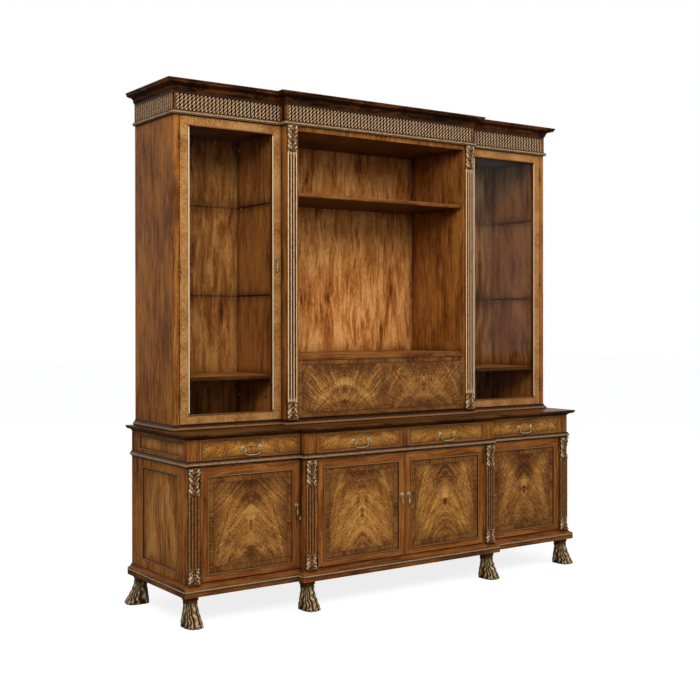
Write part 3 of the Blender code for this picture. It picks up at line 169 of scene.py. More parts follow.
class Bench:
    """Edit-mode steps that every maker shares."""

    @staticmethod
    def clear() -> None:
        """Leave edit mode and deselect everything."""
        if bpy.context.object and bpy.context.object.mode != "OBJECT":
            bpy.ops.object.mode_set(mode="OBJECT")
        bpy.ops.object.select_all(action="DESELECT")

    @staticmethod
    def take(name: str) -> Piece:
        """Name the primitive that was just added and its mesh.

        Args:
            name: Their name.

        Returns:
            The piece.
        """
        piece = bpy.context.object
        piece.name = name
        piece.data.name = name
        return piece

    @staticmethod
    def edit(mode: str = "VERT") -> None:
        """Enter edit mode with everything selected in one select mode.

        Args:
            mode: VERT, EDGE or FACE.
        """
        bpy.ops.object.mode_set(mode="EDIT")
        bpy.ops.mesh.select_mode(type=mode)
        bpy.ops.mesh.select_all(action="SELECT")

    @staticmethod
    def close() -> None:
        """Merge doubles, turn the faces outward and leave edit mode."""
        bpy.ops.mesh.select_all(action="SELECT")
        bpy.ops.mesh.remove_doubles(threshold=0.00002)
        bpy.ops.mesh.normals_make_consistent(inside=False)
        bpy.ops.object.mode_set(mode="OBJECT")

    @staticmethod
    def only(piece: Piece) -> None:
        """Make a piece the only selected and the active one.

        Args:
            piece: The piece.
        """
        Bench.clear()
        piece.select_set(True)
        bpy.context.view_layer.objects.active = piece

    @staticmethod
    def smooth(piece: Piece, degrees: float) -> Piece:
        """Shade a piece smooth up to an angle.

        Args:
            piece: The piece, which becomes the only selected one.
            degrees: Edges sharper than this stay crisp.

        Returns:
            The piece.
        """
        Bench.only(piece)
        bpy.ops.object.shade_smooth_by_angle(angle=radians(degrees))
        return piece

    @staticmethod
    def apply(piece: Piece, kind: str, **settings: Any) -> None:
        """Add one modifier to a piece and apply it.

        Args:
            piece: The piece, which becomes the only selected one.
            kind: The modifier's type.
            settings: Its properties.
        """
        Bench.only(piece)
        modifier = piece.modifiers.new(kind.lower(), kind)
        for key, value in settings.items():
            setattr(modifier, key, value)
        bpy.ops.object.modifier_apply(modifier=modifier.name)

    @staticmethod
    def settle(piece: Piece, matrix: Matrix) -> Piece:
        """Move a piece's mesh by a matrix, and leave its object at the origin.

        Args:
            piece: The piece.
            matrix: Where its mesh goes.

        Returns:
            The piece.
        """
        piece.data.transform(matrix)
        if matrix.to_3x3().determinant() < 0:
            piece.data.flip_normals()
        piece.data.update()
        return piece

    @staticmethod
    def copy(piece: Piece, name: str, matrix: Matrix) -> Piece:
        """Copy a modelled piece with its own mesh.

        Args:
            piece: The piece to copy.
            name: The copy's name.
            matrix: Where the copy goes from the model's place.

        Returns:
            The copy.
        """
        twin = piece.copy()
        twin.data = piece.data.copy()
        twin.name = name
        twin.data.name = name
        bpy.context.scene.collection.objects.link(twin)
        return Bench.settle(twin, matrix)

    @staticmethod
    def join(pieces: Sequence[Piece], name: str) -> Piece:
        """Join several bodies into one piece.

        Args:
            pieces: The bodies.
            name: The piece's name.

        Returns:
            The piece.
        """
        Bench.clear()
        for piece in pieces:
            piece.select_set(True)
        bpy.context.view_layer.objects.active = pieces[0]
        if len(pieces) > 1:
            bpy.ops.object.join()
        return Bench.take(name)

    @staticmethod
    def board(name: str, x: Span, y: Span, z: Span, ease: float) -> Piece:
        """A board whose edges are eased.

        Args:
            name: The piece's name.
            x: Its ends in X, in either order, as the other spans.
            y: Its ends in Y.
            z: Its ends in Z.
            ease: The width of the easing.

        Returns:
            The board.
        """
        Bench.clear()
        centre = [(a + b) / 2 for a, b in (x, y, z)]
        bpy.ops.mesh.primitive_cube_add(size=1.0, location=(0.0, 0.0, 0.0))
        piece = Bench.take(name)
        Bench.edit("EDGE")
        bpy.ops.transform.resize(value=[abs(b - a) for a, b in (x, y, z)])
        bpy.ops.transform.translate(value=centre)
        bpy.ops.mesh.bevel(offset=ease, segments=2, affect="EDGES")
        Bench.close()
        return piece

    @staticmethod
    def prism(name: str, rings: Sequence[Sequence[Point]]) -> Piece:
        """Extrude a filled ring through others, point for point.

        Args:
            name: The piece's name.
            rings: Rings of the same number of points.

        Returns:
            The closed piece.
        """
        Bench.clear()
        bpy.ops.mesh.primitive_circle_add(vertices=len(rings[0]), fill_type="NGON")
        piece = Bench.take(name)
        mesh = piece.data
        order = mesh.attributes.new("order", "INT", "POINT")
        order.data.foreach_set("value", range(len(rings[0])))
        for vertex, point in zip(mesh.vertices, rings[0]):
            vertex.co = point
        for number, ring in enumerate(rings[1:]):
            before = len(mesh.vertices)
            if number == 0:
                Bench.edit("FACE")
            else:
                bpy.ops.object.mode_set(mode="EDIT")
            bpy.ops.mesh.extrude_region_move(TRANSFORM_OT_translate={"value": (0.0, 0.0, 0.01)})
            bpy.ops.object.mode_set(mode="OBJECT")
            order = mesh.attributes["order"].data
            for index in range(before, len(mesh.vertices)):
                mesh.vertices[index].co = ring[order[index].value]
        mesh.attributes.remove(mesh.attributes["order"])
        Bench.edit()
        Bench.close()
        return piece

    @staticmethod
    def turned(name: str, profile: Sequence[Span], steps: int = 24) -> Piece:
        """Turn a profile about the Z axis, as on a lathe.

        Args:
            name: The piece's name.
            profile: Points as (radius, height), the first and last on the axis.
            steps: How many faces go round.

        Returns:
            The turned piece, upright at the origin.
        """
        Bench.clear()
        bpy.ops.mesh.primitive_plane_add(size=0.001)
        piece = Bench.take(name)
        Bench.edit()
        bpy.ops.mesh.merge(type="CENTER")
        bpy.ops.transform.translate(value=(profile[0][0], 0.0, profile[0][1]))
        for (r0, z0), (r1, z1) in zip(profile, profile[1:]):
            move = {"value": (r1 - r0, 0.0, z1 - z0)}
            bpy.ops.mesh.extrude_region_move(TRANSFORM_OT_translate=move)
        bpy.ops.mesh.select_all(action="SELECT")
        bpy.ops.mesh.spin(steps=steps, angle=tau, center=(0, 0, 0), axis=(0, 0, 1))
        Bench.close()
        return Bench.smooth(piece, 50.0)

    @staticmethod
    def wire(name: str, path: Sequence[Point], radii: Sequence[float], cyclic: bool = False) -> Piece:
        """Bend a round wire along a smooth path.

        Args:
            name: The piece's name.
            path: The points that it passes through.
            radii: Its radius at each point.
            cyclic: Whether it closes on itself.

        Returns:
            The wire as a mesh.
        """
        Bench.clear()
        bpy.ops.curve.primitive_bezier_curve_add(location=(0.0, 0.0, 0.0))
        curve = bpy.context.object.data
        curve.dimensions = "3D"
        curve.resolution_u = 6
        curve.bevel_depth = 1.0
        curve.bevel_resolution = 3
        curve.use_fill_caps = True
        line = curve.splines[0]
        line.bezier_points.add(len(path) - 2)
        line.use_cyclic_u = cyclic
        for point, place, radius in zip(line.bezier_points, path, radii):
            point.co = place
            point.handle_left_type = point.handle_right_type = "AUTO"
            point.radius = radius
        bpy.ops.object.convert(target="MESH")
        piece = Bench.take(name)
        Bench.edit()
        Bench.close()
        return Bench.smooth(piece, 60.0)

    @staticmethod
    def relief(name: str, columns: int, rows: int, surface: Surface, back: float) -> Piece:
        """Carve a block whose front follows a surface and whose back is flat.

        Args:
            name: The piece's name.
            columns: Faces across.
            rows: Faces up.
            surface: Gives (x, y, z, ridge) for shares across and up; ridge says how proud the place is.
            back: The Y of the back.

        Returns:
            The carved block, with its ridge attribute.
        """
        Bench.clear()
        bpy.ops.mesh.primitive_grid_add(x_subdivisions=columns, y_subdivisions=rows, size=1.0,
                                        location=(0.0, 0.0, 0.0))
        piece = Bench.take(name)
        Bench.edit("FACE")
        bpy.ops.mesh.extrude_region_move(TRANSFORM_OT_translate={"value": (0.0, 0.0, 1.0)})
        bpy.ops.object.mode_set(mode="OBJECT")
        mesh = piece.data
        places, ridges = [], []
        for vertex in mesh.vertices:
            x, y, z, ridge = surface(vertex.co.x + 0.5, vertex.co.y + 0.5)
            places += [x, y if vertex.co.z > 0.5 else back, z]
            ridges.append(ridge if vertex.co.z > 0.5 else 0.0)
        mesh.vertices.foreach_set("co", places)
        mesh.attributes.new(RIDGE, "FLOAT", "POINT").data.foreach_set("value", ridges)
        Bench.edit()
        bpy.ops.mesh.normals_make_consistent(inside=False)
        bpy.ops.object.mode_set(mode="OBJECT")
        return Bench.smooth(piece, 50.0)

    @staticmethod
    def mark(piece: Piece, ridge: Callable[[Vector], float]) -> None:
        """Mark how proud each point of a piece stands, which its finish paints pale as a painted
        highlight.

        Args:
            piece: The piece.
            ridge: Gives how proud a point is, kept from 0 to 1.
        """
        marks = piece.data.attributes
        layer = marks.get(RIDGE) or marks.new(RIDGE, "FLOAT", "POINT")
        layer.data.foreach_set("value", [max(0.0, min(1.0, ridge(v.co))) for v in piece.data.vertices])

    @staticmethod
    def map_grain(piece: Piece, place: Callable[[Vector], Span]) -> Piece:
        """Give a piece a grain map in metres: across the grain, then along it.

        Args:
            piece: The piece.
            place: Gives the two coordinates of a point.

        Returns:
            The piece.
        """
        mesh = piece.data
        if GRAIN_MAP not in mesh.uv_layers:
            mesh.uv_layers.new(name=GRAIN_MAP)
        for other in [item for item in mesh.uv_layers if item.name != GRAIN_MAP]:
            mesh.uv_layers.remove(other)
        places = [place(vertex.co) for vertex in mesh.vertices]
        mesh.uv_layers[GRAIN_MAP].data.foreach_set(
            "uv", [c for loop in mesh.loops for c in places[loop.vertex_index]])
        return piece

    @staticmethod
    def dress(piece: Piece, material: Material) -> None:
        """Give a piece one material, in place of any it had."""
        piece.data.materials.clear()
        piece.data.materials.append(material)

    @staticmethod
    def fit(piece: Piece, material: Material, slot: str, *nodes: str, body: str = "cabinet") -> Piece:
        """Dress a finished piece, ride it on its body and log it.

        Args:
            piece: The piece.
            material: Its finish.
            slot: The name of a slot, which is not used.
            nodes: The CAD nodes that it stands for.
            body: The body that it rides on.

        Returns:
            The piece.
        """
        Bench.dress(piece, material)
        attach(piece, body)
        if nodes:
            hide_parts(*nodes)
        LOG.info("%s on %s, %d faces", piece.name, body, len(piece.data.polygons))
        return piece


def linear(code: str) -> Quad:
    """Turn an sRGB hex colour into linear values.

    Args:
        code: Six hex digits.

    Returns:
        Red, green, blue and full alpha.
    """
    parts = [int(code[i:i + 2], 16) / 255 for i in (0, 2, 4)]
    return (*[p / 12.92 if p <= 0.04045 else ((p + 0.055) / 1.055) ** 2.4 for p in parts], 1.0)


def feed(tree: Tree, socket: Socket, value: Any) -> None:
    """Link a socket into an input, or set it to a number, a vector or a hex colour.

    Args:
        tree: The node tree.
        socket: The input.
        value: What it takes.
    """
    if isinstance(value, Socket):
        tree.links.new(value, socket)
    else:
        socket.default_value = linear(value) if isinstance(value, str) else value


def add(tree: Tree, kind: str, *values: Any, out: int | str | None = 0,
        stops: Sequence[tuple[float, Any]] = (), **named: Any) -> Any:
    """Add a node with its settings, values and links.

    Args:
        tree: The node tree.
        kind: The node type without its ShaderNode prefix, and after a slash its operation.
        values: What its first inputs take, in order.
        out: Which output to hand back, or None for all of them.
        stops: A ramp's places from 0 to 1, each with a hex colour or a grey.
        named: Inputs by name, which start with a capital and have _ for a space, and the node's
            properties, which don't.

    Returns:
        The output socket, or all of them.
    """
    kind, _, operation = kind.partition("/")
    made = tree.nodes.new("ShaderNode" + kind)
    if operation:
        made.operation = operation
    for key, value in (*enumerate(values), *named.items()):
        if isinstance(key, str) and key[0].islower():
            setattr(made, key, value)
        else:
            feed(tree, made.inputs[key.replace("_", " ") if isinstance(key, str) else key], value)
    if stops:
        elements = made.color_ramp.elements
        while len(elements) < len(stops):
            elements.new(0.5)
        for element, (place, colour) in zip(elements, stops):
            element.position = place
            element.color = linear(colour) if isinstance(colour, str) else (colour,) * 3 + (1.0,)
    return made.outputs if out is None else made.outputs[out]


class Mixer:
    """The nodes of one material, with the patterns that several finishes share."""

    def __init__(self, name: str) -> None:
        """Start a node material with its Principled shader.

        Args:
            name: The material's name.
        """
        self.material = bpy.data.materials.new(name)
        self.material.use_nodes = True
        self.tree = self.material.node_tree
        self.shader = self.tree.nodes["Principled BSDF"]

    def add(self, kind: str, *values: Any, **named: Any) -> Any:
        """Add a node to this material."""
        return add(self.tree, kind, *values, **named)

    def total(self, start: Any, *parts: tuple[Any, float]) -> Any:
        """Add weighted parts to a number, each a socket with its weight.

        Args:
            start: The number or its socket.
            parts: The weighted parts.

        Returns:
            The total's socket.
        """
        for part, weight in parts:
            start = self.add("Math/MULTIPLY_ADD", part, weight, start)
        return start

    def edge(self, place: Any, half_width: float, height: float, reach: float = 0.055) -> Any:
        """How near a mapped point lies to its panel's edge, for darkening toward the edge.

        Args:
            place: The grain map's socket, which runs from the middle of the panel's foot.
            half_width: Half the panel's width.
            height: Its height.
            reach: How far in the glaze fades.

        Returns:
            A socket from 0 inside to about 0.6 at the edge.
        """
        x, y, _ = self.add("SeparateXYZ", place, out=None)
        side = self.add("Math/SUBTRACT", half_width, self.add("Math/ABSOLUTE", x))
        ends = self.add("Math/MINIMUM", y, self.add("Math/SUBTRACT", height, y))
        ragged = self.add("TexNoise", Vector=place, Scale=16.0, Detail=4.0, Roughness=0.6)
        near = self.total(-0.65, (self.add("Math/MINIMUM", side, ends), 1 / min(reach, height * 0.4)),
                          (ragged, 1.3))
        return self.total(0.60, (self.add("Math/MINIMUM", 1.0, near), -0.60))

    def shadowed(self, colour: Any, dark: str, reach: float, share: float) -> Any:
        """Darken the corners and hollows of a surface where little light reaches: painted shade, and on
        brass its browned patina.
        """
        hollow = self.add("AmbientOcclusion", samples=6, Distance=reach, out="AO")
        return self.add("MixRGB", self.total(share, (hollow, -share)), colour, dark)

    def finish(self, colour: Any, roughness: Any, bump: Any = None, height: float = 0.0002,
               **constants: Any) -> Material:
        """Link the shader and set its constants.

        Args:
            colour: The base colour's socket or hex value.
            roughness: The roughness socket or value.
            bump: The height socket, if there is one.
            height: How far the bump rises, in metres.
            constants: Other shader inputs by name.

        Returns:
            The material.
        """
        feed(self.tree, self.shader.inputs["Base Color"], colour)
        feed(self.tree, self.shader.inputs["Roughness"], roughness)
        if bump is not None:
            raised = self.add("Bump", Strength=1.0, Distance=height, Height=bump)
            self.tree.links.new(raised, self.shader.inputs["Normal"])
        for key, value in constants.items():
            self.shader.inputs[key.replace("_", " ")].default_value = value
        return self.material


@dataclass(frozen=True)
class Walnut:
    """Polished American walnut: open-pored heartwood, stained, glazed dark and waxed to a soft gloss, with
    painted shade darkening its corners and undersides.
    """

    name: str
    dark: str
    middle: str
    light: str
    grain: Grain = Grain.UPRIGHT
    gloss: float = 0.36
    # Rings lie about 16 mm apart and streaks 3.5 mm; pores are drawn at 1.4 mm, as fine as they show
    ring: float = 16 * MM
    streak: float = 3.5 * MM
    pore: float = 1.4 * MM
    spot: float = 9 * MM
    stretch: float = 0.06
    corner_glaze: float = 0.75
    glaze_reach: float = 0.040
    sunburst: Span | None = None
    sheen: float = 0.03

    def material(self) -> Material:
        """Make the finish.

        Returns:
            The material, which reads object coordinates, or the grain map where grain is MAPPED.
        """
        mix = Mixer(self.name)
        thin = self.stretch
        long = {Grain.UPRIGHT: (1.0, 1.0, thin), Grain.LEVEL: (thin, 1.0, 1.0),
                Grain.MAPPED: (1.0, thin, 1.0)}[self.grain]
        if self.grain is Grain.MAPPED:
            place = mix.add("UVMap", uv_map=GRAIN_MAP)
        else:
            place = mix.add("TexCoord", out="Object")
        facing = mix.add("SeparateXYZ", mix.add("TexCoord", out="Normal"), out="Z")
        laid = mix.add("Mapping", place, Scale=long)
        if self.grain is Grain.UPRIGHT:
            # Floors and shelves are cut with their grain lying sideways
            flat = mix.add("Math/GREATER_THAN", mix.add("Math/ABSOLUTE", facing), 0.7)
            laid = mix.add("MixRGB", flat, laid, mix.add("Mapping", place, Scale=(thin, 1.0, 1.0)))
        drift = mix.add("TexNoise", Vector=place, Scale=3.5, Detail=2.0, Roughness=0.55)
        drifted = mix.add("CombineXYZ", mix.total(0.0, (drift, 0.06)), mix.total(0.0, (drift, 0.04)))
        wavy = mix.add("VectorMath/ADD", laid, drifted)
        rings = mix.add("TexNoise", Vector=wavy, Scale=1 / self.ring, Detail=4.0, Roughness=0.6,
                        Distortion=0.6)
        fine = mix.add("TexNoise", Vector=wavy, Scale=1 / self.streak, Detail=3.0, Roughness=0.7)
        pores = mix.add("TexNoise", Vector=wavy, Scale=1 / self.pore, Detail=1.0, Roughness=0.5)
        broad = mix.add("Mapping", place, Scale=[max(0.35, side) for side in long])
        cloud = mix.add("TexNoise", Vector=broad, Scale=9.0, Detail=5.0, Roughness=0.62)
        colour = mix.add("ValToRGB", mix.total(0.0, (rings, 0.40), (fine, 0.20), (cloud, 0.40)),
                         stops=[(0.38, self.dark), (0.48, self.middle), (0.57, self.light),
                                (0.72, self.middle)])
        speck = mix.add("ValToRGB", pores, stops=[(0.30, 0.0), (0.44, 1.0)])
        colour = mix.add("MixRGB", 0.45, colour, mix.add("MixRGB", speck, self.dark, colour))
        # Fly-speck distressing: small dark spots a few millimetres across
        specks = mix.add("TexNoise", Vector=place, Scale=1 / self.spot, Detail=2.0, Roughness=0.4)
        spots = mix.add("ValToRGB", specks, stops=[(0.24, 0.0), (0.31, 1.0)])
        colour = mix.add("MixRGB", 0.75, colour, mix.add("MixRGB", spots, self.dark, colour))
        # Darker toward the panel's edges
        if self.sunburst:
            colour = mix.add("MixRGB", mix.edge(place, *self.sunburst), colour, self.dark)
        # Undersides are painted darker: painted shade where light from above doesn't reach
        under = mix.total(0.0, (mix.add("Math/LESS_THAN", facing, -0.7), 0.55))
        colour = mix.add("MixRGB", under, colour, "241208")
        # Painted shade: corners and hollows are darkened where little light reaches
        colour = mix.shadowed(colour, "120804", self.glaze_reach, self.corner_glaze)
        rough = mix.total(self.gloss - 0.05, (cloud, 0.16))
        return mix.finish(colour, rough, fine, 0.00010, Specular_IOR_Level=self.sheen)


@dataclass(frozen=True)
class Crotch:
    """Crotch walnut veneer: a feather of fine barbs about a pale plume, darker toward its edges, with
    painted shade in its corners.
    """

    name: str
    half_width: float
    height: float
    dark: str = "42220D"
    middle: str = "784A20"
    light: str = "A87034"
    gold: str = "C8984E"
    plume: float = 1.0
    barb: float = 3.4 * MM
    fleck: float = 3.6 * MM
    slope: float = 0.62
    rising: float = 0.21
    falling: float = 0.20
    fan: float = 0.0
    flitch: float = 0.0

    def material(self) -> Material:
        """Make the finish.

        Returns:
            The material. Its grain map runs from the middle of the panel's foot.
        """
        mix = Mixer(self.name)
        place = mix.add("UVMap", uv_map=GRAIN_MAP)
        x, up, _ = mix.add("SeparateXYZ", place, out=None)
        across = mix.add("Math/ABSOLUTE", x)
        mirrored = mix.add("CombineXYZ", across, up, self.flitch)
        sways = mix.add("TexNoise", Vector=mirrored, Scale=9.0, Detail=3.0, Roughness=0.55)
        warp = mix.total(-0.04, (sways, 0.08))
        u = mix.add("Math/DIVIDE", across, self.half_width)
        v = mix.add("Math/DIVIDE", mix.add("Math/ADD", up, warp), self.height)
        # Growth arches climb to a point over the plume
        arch = mix.add("CombineXYZ", mix.total(v, (mix.add("Math/POWER", u, 2.2), 1.10)),
                       mix.total(0.0, (u, 0.12)), self.flitch)
        bands = mix.add("TexNoise", Vector=arch, Scale=7.5, Detail=4.0, Roughness=0.65)
        # Barbs lean outward and up from the middle line, and cross a second, fainter set
        barbs = self.barbs(mix, up, across, warp, self.slope, self.barb)
        crossing = self.barbs(mix, up, across, warp, -self.slope, self.barb * 1.3)
        flecks = mix.add("TexNoise", Vector=mix.add("Mapping", mirrored, Scale=(1.0, 0.6, 1.0)),
                         Scale=1 / self.fleck, Detail=3.0, Roughness=0.7)
        cloud = mix.add("TexNoise", Vector=mirrored, Scale=14.0, Detail=4.0, Roughness=0.65)
        value = mix.total(0.0, (bands, 0.20), (barbs, self.rising), (crossing, self.falling),
                          (flecks, 0.24), (cloud, 0.15))
        if self.fan:
            turn = mix.add("Math/ARCTAN2", mix.add("Math/ADD", across, warp),
                           mix.add("Math/ADD", up, 0.030))
            spread = mix.add("CombineXYZ", mix.total(0.0, (turn, 9.0)), mix.total(0.0, (up, 2.0)),
                             self.flitch)
            rays = mix.add("TexNoise", Vector=spread, Scale=4.6, Detail=2.0, Roughness=0.55)
            value = mix.total(value, (mix.add("Math/SUBTRACT", rays, 0.5), self.fan))
        # The plume: a pale flame with a dark seed, over it the dark throat of the crotch
        ragged = mix.add("TexNoise", Vector=mirrored, Scale=26.0, Detail=3.0, Roughness=0.55)
        sway = mix.total(-0.55, (ragged, 1.1))
        for wide, middle, tall, depth in ((0.12, 0.54, 0.24, 0.050), (0.075, 0.47, 0.09, -0.11),
                                          (0.62, 0.88, 0.26, -0.060), (0.30, 0.14, 0.11, -0.05)):
            patch = self.patch(mix, u, v, wide, middle, tall, sway)
            value = mix.total(value, (patch, depth * self.plume))
        colour = mix.add("ValToRGB", value, stops=[(0.415, self.dark), (0.475, self.middle),
                                                   (0.535, self.light), (0.60, self.gold)])
        # Darker toward the edges, and painted shade in the corners and hollows
        edge = mix.edge(place, self.half_width, self.height)
        colour = mix.shadowed(mix.add("MixRGB", edge, colour, self.dark), "160A05", 0.016, 0.80)
        return mix.finish(colour, mix.total(0.30, (cloud, 0.14)), barbs, 0.00005, Specular_IOR_Level=0.12)

    def barbs(self, mix: Mixer, up: Any, across: Any, warp: Any, slope: float, size: float) -> Any:
        """Fine lines that run at a slope from the middle line.

        Args:
            mix: The material's nodes.
            up: The socket of the height.
            across: The socket of the distance from the middle line.
            warp: The socket that sways the lines.
            slope: How steeply they climb.
            size: How far apart they lie.

        Returns:
            The lines' socket.
        """
        lean = mix.total(0.0, (up, 0.72), (across, -slope), (warp, 0.35))
        along = mix.total(0.0, (mix.add("Math/ADD", up, across), 0.22))
        lines = mix.add("CombineXYZ", lean, along, self.flitch + slope)
        return mix.add("TexNoise", Vector=lines, Scale=1 / size, Detail=2.0, Roughness=0.6)

    @staticmethod
    def patch(mix: Mixer, u: Any, v: Any, wide: float, middle: float, tall: float, sway: Any) -> Any:
        """A soft oval on the middle line, ragged at its edge.

        Args:
            mix: The material's nodes.
            u: The socket of the share across.
            v: The socket of the share up.
            wide: Its half width as a share.
            middle: The height of its middle as a share.
            tall: Its half height as a share.
            sway: The socket that makes it ragged.

        Returns:
            The oval's socket, 1 at its middle.
        """
        x = mix.add("Math/DIVIDE", u, wide)
        y = mix.add("Math/DIVIDE", mix.add("Math/SUBTRACT", v, middle), tall)
        out = mix.add("Math/MULTIPLY_ADD", x, x, mix.add("Math/MULTIPLY", y, y))
        return mix.add("Math/MAXIMUM", mix.add("Math/SUBTRACT", mix.add("Math/ADD", 1.0, sway), out), 0.0)


@dataclass(frozen=True)
class CarvedWalnut:
    """Carved walnut, its ridges painted pale as a painted highlight and its cuts dark as painted shade."""

    name: str
    deep: str
    body: str
    worn: str
    ridge: str
    rub: float = 0.56
    reach: float = 0.008
    hollow: float = 0.85
    span: Span | None = None
    mottle: float = 16 * MM
    grit: float = 2.2 * MM

    def material(self) -> Material:
        """Make the finish, which reads the ridge attribute of carved pieces.

        Returns:
            The material.
        """
        mix = Mixer(self.name)
        place = mix.add("TexCoord", out="Object")
        proud = mix.add("Attribute", attribute_name=RIDGE, out="Fac")
        cloud = mix.add("TexNoise", Vector=place, Scale=1 / self.mottle, Detail=3.0, Roughness=0.6)
        grit = mix.add("TexNoise", Vector=place, Scale=1 / self.grit, Detail=2.0, Roughness=0.6)
        # How proud a place is, broken up at random, sets its colour: pale ridges are a painted highlight,
        # dark cuts painted shade
        worn = mix.total(mix.add("Math/SUBTRACT", proud, 0.40), (cloud, 0.55), (grit, 0.25))
        if self.span:
            # Above and below the span the painted highlight is weakened, so only the bead's upright sides
            # carry the painted reflection
            half = (self.span[1] - self.span[0]) / 2
            high = mix.add("SeparateXYZ", place, out="Z")
            away = mix.add("Math/ABSOLUTE", mix.add("Math/SUBTRACT", high, self.span[0] + half))
            kept = mix.total(1.0, (mix.add("Math/GREATER_THAN", away, half), -0.62))
            worn = mix.add("Math/MULTIPLY", worn, kept)
        colour = mix.add("ValToRGB", worn, stops=[(0.08, self.deep), (0.36, self.body),
                                                  (self.rub, self.worn), (self.rub + 0.26, self.ridge)])
        # Painted shade in the cuts and hollows
        colour = mix.shadowed(colour, self.deep, self.reach, self.hollow)
        return mix.finish(colour, mix.total(0.50, (worn, -0.12)), grit, 0.00012, Specular_IOR_Level=0.14)


@dataclass(frozen=True)
class AntiqueBrass:
    """Cast brass, browned in its hollows and bright where hands rub it."""

    name: str = "antique_cast_brass"
    tarnish: str = "76643E"
    metal: str = "D2C08E"
    bright: str = "F4EACA"
    patch: float = 6 * MM

    def material(self) -> Material:
        """Make the finish.

        Returns:
            The material.
        """
        mix = Mixer(self.name)
        cloud = mix.add("TexNoise", Vector=mix.add("TexCoord", out="Object"), Scale=1 / self.patch,
                        Detail=3.0, Roughness=0.6)
        colour = mix.add("ValToRGB", cloud, stops=[(0.30, self.tarnish), (0.50, self.metal),
                                                   (0.68, self.bright)])
        colour = mix.shadowed(colour, "2A1C0C", 0.004, 0.85)
        return mix.finish(colour, mix.total(0.20, (cloud, 0.22)), cloud, 0.00008, Metallic=1.0)


@dataclass(frozen=True)
class ClearGlass:
    """Clear float glass with a polished edge and the faint green of its thickness."""

    name: str = "clear_float_glass"
    tint: str = "EAF4EE"
    cover: float = 0.02

    def material(self) -> Material:
        """Make the finish.

        Returns:
            The material.
        """
        mix = Mixer(self.name)
        smear = mix.add("TexNoise", Vector=mix.add("TexCoord", out="Object"), Scale=4.0, Detail=2.0,
                        Roughness=0.55)
        return mix.finish(self.tint, mix.total(0.0, (smear, 0.03)), Transmission_Weight=1.0, IOR=1.5,
                          Alpha=self.cover)


@dataclass(frozen=True)
class Stringing:
    """Ebonised stringing: a thin black-brown line let in between two veneers."""

    name: str = "ebonised_stringing"
    grit: float = 4 * MM

    def material(self) -> Material:
        """Make the finish.

        Returns:
            The material.
        """
        mix = Mixer(self.name)
        grit = mix.add("TexNoise", Vector=mix.add("TexCoord", out="Object"), Scale=1 / self.grit,
                       Detail=2.0, Roughness=0.55)
        colour = mix.add("ValToRGB", grit, stops=[(0.30, "140A05"), (0.70, "3A1F10")])
        return mix.finish(colour, 0.34, grit, 0.00005)


